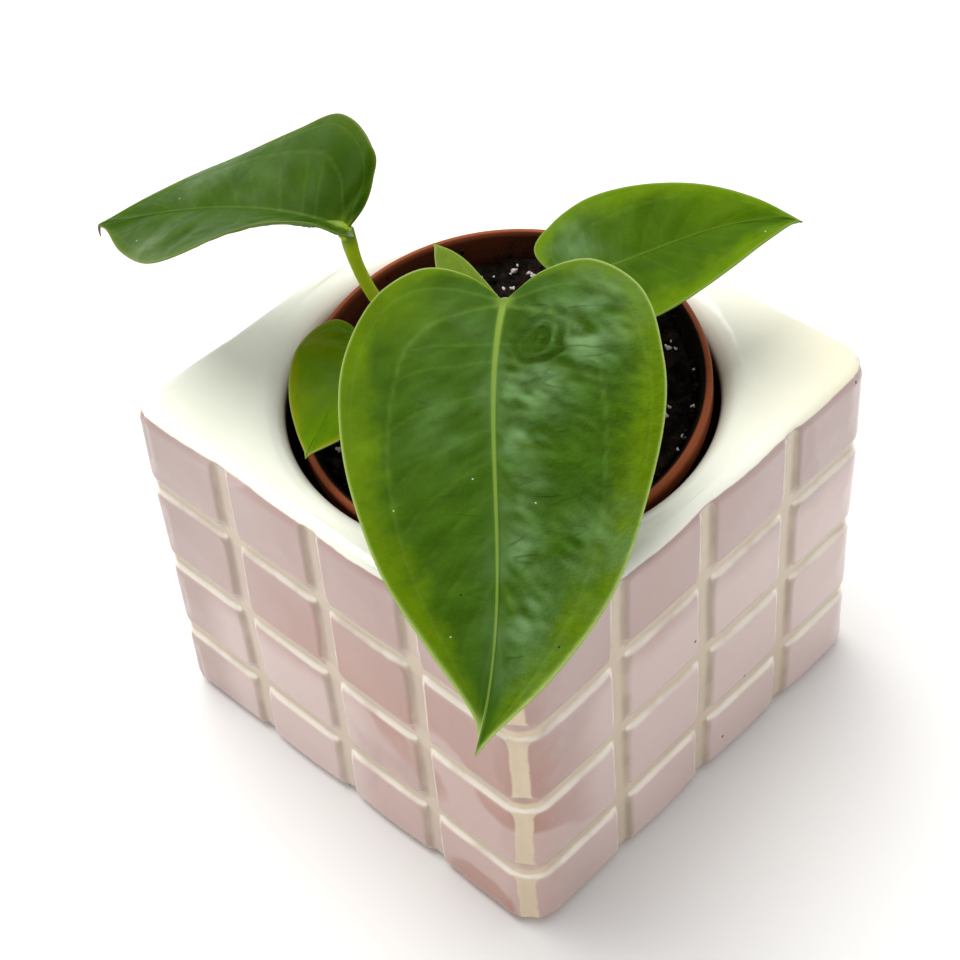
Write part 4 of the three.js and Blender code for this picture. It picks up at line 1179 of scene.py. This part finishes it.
class Blade:
    """The smooth surface of one blade, and its outlines in flat millimetres."""

    def __init__(self, leaf):
        self.leaf = leaf
        self.midrib = leaf["midrib"]
        line = bezier(self.midrib, np.linspace(0, 1, 200))[0]
        self.length = float(np.linalg.norm(np.diff(line, axis=0), axis=1).sum())
        self.reach = self.length + leaf["drip"]
        self.outline = {s: [(0, 0), *leaf[s], (0, self.reach)] for s in SIDES}

    def point(self, side, x, y):
        leaf = self.leaf
        t = np.clip(y / self.length, 0.0, 1.0)
        ahead = bezier(self.midrib, np.clip(t, 0.001, 0.999))[1]
        beyond = np.minimum(y, 0) + np.maximum(y - self.length, 0)
        origin = bezier(self.midrib, t)[0] + beyond[:, None] * ahead
        across = unit(np.cross(ahead, UP))
        up = np.cross(across, ahead)
        base, tip = leaf["roll"]
        roll = np.radians(base + (tip - base) * smooth_step(0, 1, t))[:, None]
        across, up = across * np.cos(roll) + up * np.sin(roll), up * np.cos(roll) - across * np.sin(roll)
        rise = np.radians(amount_along(leaf["fold"][side], t))
        curl = amount_along(leaf["curl"][side], t)
        curl = np.where(np.abs(curl) < 1e-5, 1e-5, curl)
        out = (np.sin(rise) - np.sin(rise - curl * x)) / curl
        height = (np.cos(rise - curl * x) - np.cos(rise)) / curl + leaf["lobe_rise"] * np.minimum(y, 0) ** 2
        return origin + SIDES[side] * out[:, None] * across + height[:, None] * up

    def normal(self, side, x, y):
        step = 0.05
        here = self.point(side, x, y)
        across = self.point(side, x + step, y) - here
        ahead = self.point(side, x, y + step) - here
        return SIDES[side] * unit(np.cross(across, ahead))

    def flat(self, side, row, out):
        """Distance across and along for a row that follows a side vein, and a share of the way out."""
        end = catmull(self.outline[side], row)
        start = self.reach * row**VEIN_SWEEP
        return end[:, 0] * out, start + (end[:, 1] - start) * out**VEIN_BOW

    def vein(self, side, shares, spots, base, tip, samples=40):
        """How near flat places are to a vein, from its shares along and out and its two widths."""
        path = catmull(shares, np.linspace(0, 1, samples))
        course = np.stack(self.flat(side, path[:, 0], np.clip(path[:, 1], 0, 1)), axis=1)
        return nearness(spots, course, np.linspace(base, tip, samples) * self.leaf["rib"])


def vein_masks(blade, side, x, y):
    """Strength of the long and side veins, and of the midrib, at places of one half."""
    width = blade.leaf["rib"]
    spots = np.stack([x, y], axis=1)
    vein = 0.95 * blade.vein(side, BASAL_VEIN, spots, 0.5, 0.2)
    vein = np.maximum(vein, 0.7 * blade.vein(side, LOBE_VEIN, spots, 0.42, 0.18))
    for place in SIDE_VEINS:
        out = float(np.interp(place + 0.02, *np.transpose(BASAL_VEIN)))
        shares = [(place - 0.012, 0.0), (place, out * 0.4), (place + 0.006, out * 0.75), (place + 0.02, out)]
        vein = np.maximum(vein, 0.6 * blade.vein(side, shares, spots, 0.36, 0.16, 18))
    along = np.clip(y / blade.length, 0, 1)
    rib = hill(x, 0, 1.1 * width * (1.0 - 0.82 * along**0.35), 4)
    return vein, np.maximum(rib, hill(np.hypot(x, y * 0.8), 0, 1.9 * width))


def pressed_dent(x, y, middle):
    """A round dent with broken ripples, and where it lies."""
    spots = np.stack([x, y], axis=1)
    aside, ahead = (spots - middle).T
    distance = np.hypot(aside, ahead) + 0.3 * swell(spots, 4.5, 61)
    turn = np.arctan2(ahead, aside)
    near = hill(distance, 0, 4.5, 6)
    ripples = 0.26 * np.cos(2 * math.pi * distance / 2.9 + 1.6 * np.sin(2 * turn + 0.8))
    ripples *= (0.75 + 0.5 * np.sin(turn + 2.2)) * (1 - 0.35 * swell(spots, 3.0, 62))
    low_side = 0.5 + 0.5 * np.cos(turn - math.radians(50))
    return near * (ripples - 0.26) - 0.46 * low_side * hill(distance, 4.1, 0.55), near


def blade_relief(leaf, side, row, out, x, y, vein, rib, margin):
    """Height over the smooth surface: quilting between veins, edge waves, puckers and ribs; and the painted
    light and shade that follow them.
    """
    inner = np.minimum(1, 3 * row) * smooth_step(1.0, 0.96, row)
    quilt = -leaf["quilt"] * np.cos(math.pi * row * leaf["rows"]) * np.sin(math.pi * out) * inner
    phase = 0.0 if side == "right" else 2.0
    ripple = leaf["wave"] * out**3 * np.sin(14 * row + phase) * inner
    slant = np.stack([x, y - 0.5 * x], axis=1)
    broad = swell(slant * [0.7, 1.0], 7.5, leaf["seed"] + len(side))
    fine = swell(slant * [0.55, 1.0], 2.7, leaf["seed"] + 1 + len(side), 24)
    crinkle = leaf["crinkle"][side]
    wrinkle = (0.65 + 0.35 * crinkle) * smooth_step(0.0, 5.0, margin) * smooth_step(0.3, 2.5, x) * inner
    pucker = leaf["pucker"] * wrinkle * (0.8 * broad + 0.3 * crinkle * fine)
    raised = 0.2 * leaf["rib_raise"] * leaf["rib"] * rib * smooth_step(1.0, 0.9, row)
    relief = quilt + ripple + pucker - 0.14 * vein * (1 - rib) + raised
    # painted lighter on crests and darker in hollows
    relief_shading = np.clip((0.5 * broad + 0.6 * crinkle * fine) * wrinkle, -1, 1)
    if leaf["dent"] and side == "left":
        dent, near = pressed_dent(x, y, leaf["dent"])
        relief += dent - pucker * near
        relief_shading = np.clip(relief_shading * (1 - near) + 3.6 * dent, -2.3, 1)
    return relief, relief_shading


def patches_on(patches, spots):
    """How strongly soft round patches show at flat places."""
    total = np.zeros(len(spots))
    for x, y, size, strength in patches:
        distance = np.hypot(spots[:, 0] - x, spots[:, 1] - y)
        total = np.maximum(total, strength * hill(distance, 0, size))
    return total


def half_blade(blade, side, row, out):
    """Both faces of one half of a blade, with the masks that its material reads."""
    leaf = blade.leaf
    x, y = blade.flat(side, row, out)
    ends = (row == 0) | (row == 1)
    x = np.where(ends, 0.0, x)
    y = np.where(ends, row * blade.reach, y)
    normal = blade.normal(side, x, y)
    other = blade.normal("left" if side == "right" else "right", x, y)
    normal = unit(normal + other * hill(x, 0, 0.5 * leaf["rib"])[:, None])
    vein, rib = vein_masks(blade, side, x, y)
    half_width = catmull(blade.outline[side], row)[:, 0]
    margin = half_width * (1 - out)
    relief, relief_shading = blade_relief(leaf, side, row, out, x, y, vein, rib, margin)
    taper = BLADE_THICKNESS / 2 * (0.55 + 0.45 * smooth_step(0, 2.5, margin))
    keel = (0.95 * (1 - row) ** 0.7 + 0.1) * leaf["rib"] * hill(x, 0, 0.95 * leaf["rib"])
    keel = keel * smooth_step(1.0, 0.93, row) + 0.12 * vein * (1 - rib)
    spots = np.stack([x * SIDES[side], y, np.zeros(len(x))], axis=1)
    marks = dict(
        vein=vein * (1 - 0.45 * smooth_step(0.35, 0.8, row)),
        rib=rib**2 * (1 - leaf["rib_fade"] * smooth_step(0.2, 0.6, row)),
        edge=1 - out,
        rim=hill(margin, 0, 0.06 + 0.21 * smooth_step(0.0, 11.0, half_width)),
        haze=patches_on(leaf["sheen"], spots),
        sunny=patches_on(leaf["sunny"], spots),
        shady=patches_on(leaf["shady"], spots),
        joint=0.9 * hill(np.hypot(x, y), 0, leaf["joint"]),
        crinkle=leaf["crinkle"][side] * smooth_step(0.3, 3.0, x),
        tip=smooth_step(0.86, 1.0, row),
        flat=spots,
    )
    middle = blade.point(side, x, y)
    faces = []
    for below, height in ((0.0, relief + taper), (1.0, relief - taper - keel)):
        face_marks = dict(marks, under=np.full(len(x), below), relief_shading=relief_shading * (1 - below))
        faces.append((middle + normal * height[:, None], face_marks))
    return faces


def blade_mesh(name, leaf):
    blade = Blade(leaf)
    rows, columns = leaf["grid"]
    spread = np.linspace(0, 1, columns + 1)
    spread = spread - 0.11 * np.sin(2 * math.pi * spread)
    row = np.repeat(np.linspace(0, 1, rows + 1), columns + 1)
    out = np.tile(spread, rows + 1)
    layer = len(row)
    points, bands, faces = [], [], []
    for side in SIDES:
        flip = side == "left"
        start = len(points) * layer
        for surface, marks in half_blade(blade, side, row, out):
            points.append(surface)
            bands.append(marks)
        for first in range(start, start + rows * (columns + 1), columns + 1):
            a, b = first + columns, first + 2 * columns + 1
            wall = (a, a + layer, b + layer, b)
            faces += sheet_faces(1, columns, layer, first, flip) + [wall[::-1] if flip else wall]
    points, faces, masks = weld(np.vstack(points), faces, join_masks(bands))
    material = leaf_material(name, **leaf["look"])
    make_piece(f"leaf_{name}", points, faces, material, f"blade_{name}", masks)


def stalk_tube(name, leaf, material):
    """A round stalk from its socket in the crown to the sinus, with its sheath and knuckle."""
    stalk = leaf["stalk"]
    turn = math.radians(stalk["start"])
    foot = np.array([STALK_CIRCLE * math.cos(turn), STALK_CIRCLE * math.sin(turn), STALK_FOOT])
    sinus = np.array(leaf["midrib"][0], float)
    handles = [foot, foot + stalk["leave"], sinus + stalk["approach"], sinus]
    steps, sides, fine = 90, 24, np.linspace(0, 1, 600)
    run = np.append(0, np.cumsum(np.linalg.norm(np.diff(bezier(handles, fine)[0], axis=0), axis=1)))
    share = np.linspace(0, 1, steps)
    centres, heading = bezier(handles, np.interp(share, run / run[-1], fine))
    radius = stalk["radius"] * (0.92 + 0.22 * np.exp(-8 * share) + 0.16 * hill(share, 0.93, 0.07))
    loops = list(tube_rings(centres, heading, radius, sides, 0.1 * (1 - share) ** 0.5))
    end, ahead = centres[-1], heading[-1] * radius[-1]
    loops += [end + ahead * past + (loops[-1] - end) * inset for inset, past in ((0.85, 0.175), (0.5, 0.3))]
    points, faces = loft(loops, centres[0], end + ahead * 0.35)
    tan = np.append(np.repeat(0.8 * smooth_step(0.2, 0.02, share), sides), np.zeros(2 * sides))
    joint = np.append(np.repeat(smooth_step(0.9, 1.0, share), sides), np.ones(2 * sides))
    masks = {"sheath": np.append(tan, [1, 0]), "joint": np.append(joint, [0, 1])}
    make_piece(f"stalk_{name}", points, faces, material, f"petiole_{name}", masks)


def left_joint(leaf, material):
    """The swollen joint where the left leaf's stalk bends into the midrib, over the sinus."""
    blade = Blade(leaf)
    thick = leaf["stalk"]["radius"]
    sinus = np.array(leaf["midrib"][0], float)
    below = sinus + unit(np.array(leaf["stalk"]["approach"], float)) * 1.9 * thick
    on_rib = np.zeros(2), np.array([1.2, 4.2]) * thick
    near, far = blade.point("right", *on_rib)
    lift_near, lift_far = unit(blade.normal("right", *on_rib) + blade.normal("left", *on_rib)) * thick
    handles = [below, sinus + lift_near * 0.5, near + lift_near * 0.35, far - lift_far * 0.1]
    sides = 20
    points, faces, share = tapering_tube(handles, np.array([0.95, 1.15, 0.75, 0.2]) * thick, 30, sides)
    joint = np.append(np.repeat(smooth_step(0.15, 0.75, share), sides), [0, 1])
    masks = {"sheath": joint * 0, "joint": joint}
    make_piece("joint_left", points, faces, material, "petiole_left", masks)


def dry_tip(leaf):
    """The left leaf's shrivelled drip tip, curled down."""
    blade = Blade(leaf)
    root = blade.point("right", np.zeros(1), np.array([blade.reach - 0.7]))[0]
    heading = bezier(blade.midrib, np.array([0.999]))[1][0]
    handles = [root, root + heading * 0.5, root + heading * 0.35 + [0, -0.3, -1.0], root + [0.25, -0.6, -1.9]]
    points, faces, _ = tapering_tube(handles, [0.34, 0.26, 0.2, 0.1], 16, 10)
    brown = Finish("dry_tip", 0.8, 0.1)
    material = brown.dress(Base_Color=brown.uneven(brown.place(), DRY_TIP, 900.0, 0.6))
    make_piece("dry_drip_tip", points, faces, material, "blade_left")


def leaves():
    green = stalk_material()
    for name, settings in LEAVES.items():
        leaf = PLAIN_LEAF | settings
        blade_mesh(name, leaf)
        stalk_tube(name, leaf, green)
    left = PLAIN_LEAF | LEAVES["left"]
    left_joint(left, green)
    dry_tip(left)


# Studio

def studio():
    """A pale floor, an even room that is brighter on one side, and one soft light."""
    scene = bpy.context.scene
    scene.view_settings.view_transform = "Standard"
    scene.world = bpy.data.worlds.new("studio")
    scene.world.use_nodes = True
    room = Nodes(scene.world.node_tree)
    way = room.add("ShaderNodeTexCoord", "Generated", {})
    toward = room.add("ShaderNodeVectorMath", "Value", {0: way, 1: BRIGHT_SKY}, operation="DOT_PRODUCT")
    background = scene.world.node_tree.nodes["Background"]
    room.feed(background.inputs["Strength"], room.spread(toward, -0.9, 0.9, 0.42, 0.76))
    room.feed(background.inputs["Color"], (1.0, 1.0, 1.0))
    add_light("window", place=(-0.5, 0.05, 1.5), size=1.2, power=22.0, colour=(1.0, 0.99, 0.97))
    corners = np.array([(-1, -1, 0), (1, -1, 0), (1, 1, 0), (-1, 1, 0)]) * STUDIO_HALF
    mesh = new_mesh("floor", corners, [(0, 1, 2, 3)])
    pale = Finish("pale_floor", 0.9, 0.1)
    mesh.materials.append(pale.dress(Base_Color=pale.uneven(pale.place(), STUDIO_FLOOR, 2.0, 0.03)))
    floor = add_object("floor", mesh)


def add_light(name, place, size, power, colour):
    light = bpy.data.lights.new(name, "AREA")
    light.shape = "SQUARE"
    light.size = size
    light.energy = power
    light.color = colour
    lamp = add_object(name, light)
    lamp.location = place
    aim = Vector((0, 0, 0.07)) - Vector(place)
    lamp.rotation_euler = aim.to_track_quat("-Z", "Y").to_euler()


def camera():
    data = bpy.data.cameras.new("camera")
    data.sensor_width = SENSOR
    data.lens = LENS
    data.clip_start = 0.01
    look = (CAMERA_AIM - CAMERA_PLACE).normalized()
    turn = look.to_track_quat("-Z", "Y").to_matrix() @ Matrix.Rotation(CAMERA_ROLL, 3, "Z")
    eye = add_object("camera", data)
    eye.matrix_world = Matrix.Translation(CAMERA_PLACE) @ turn.to_4x4()
    bpy.context.scene.camera = eye


camera()
studio()
cover_pot()
nursery_pot()
soil()
crown()
leaves()
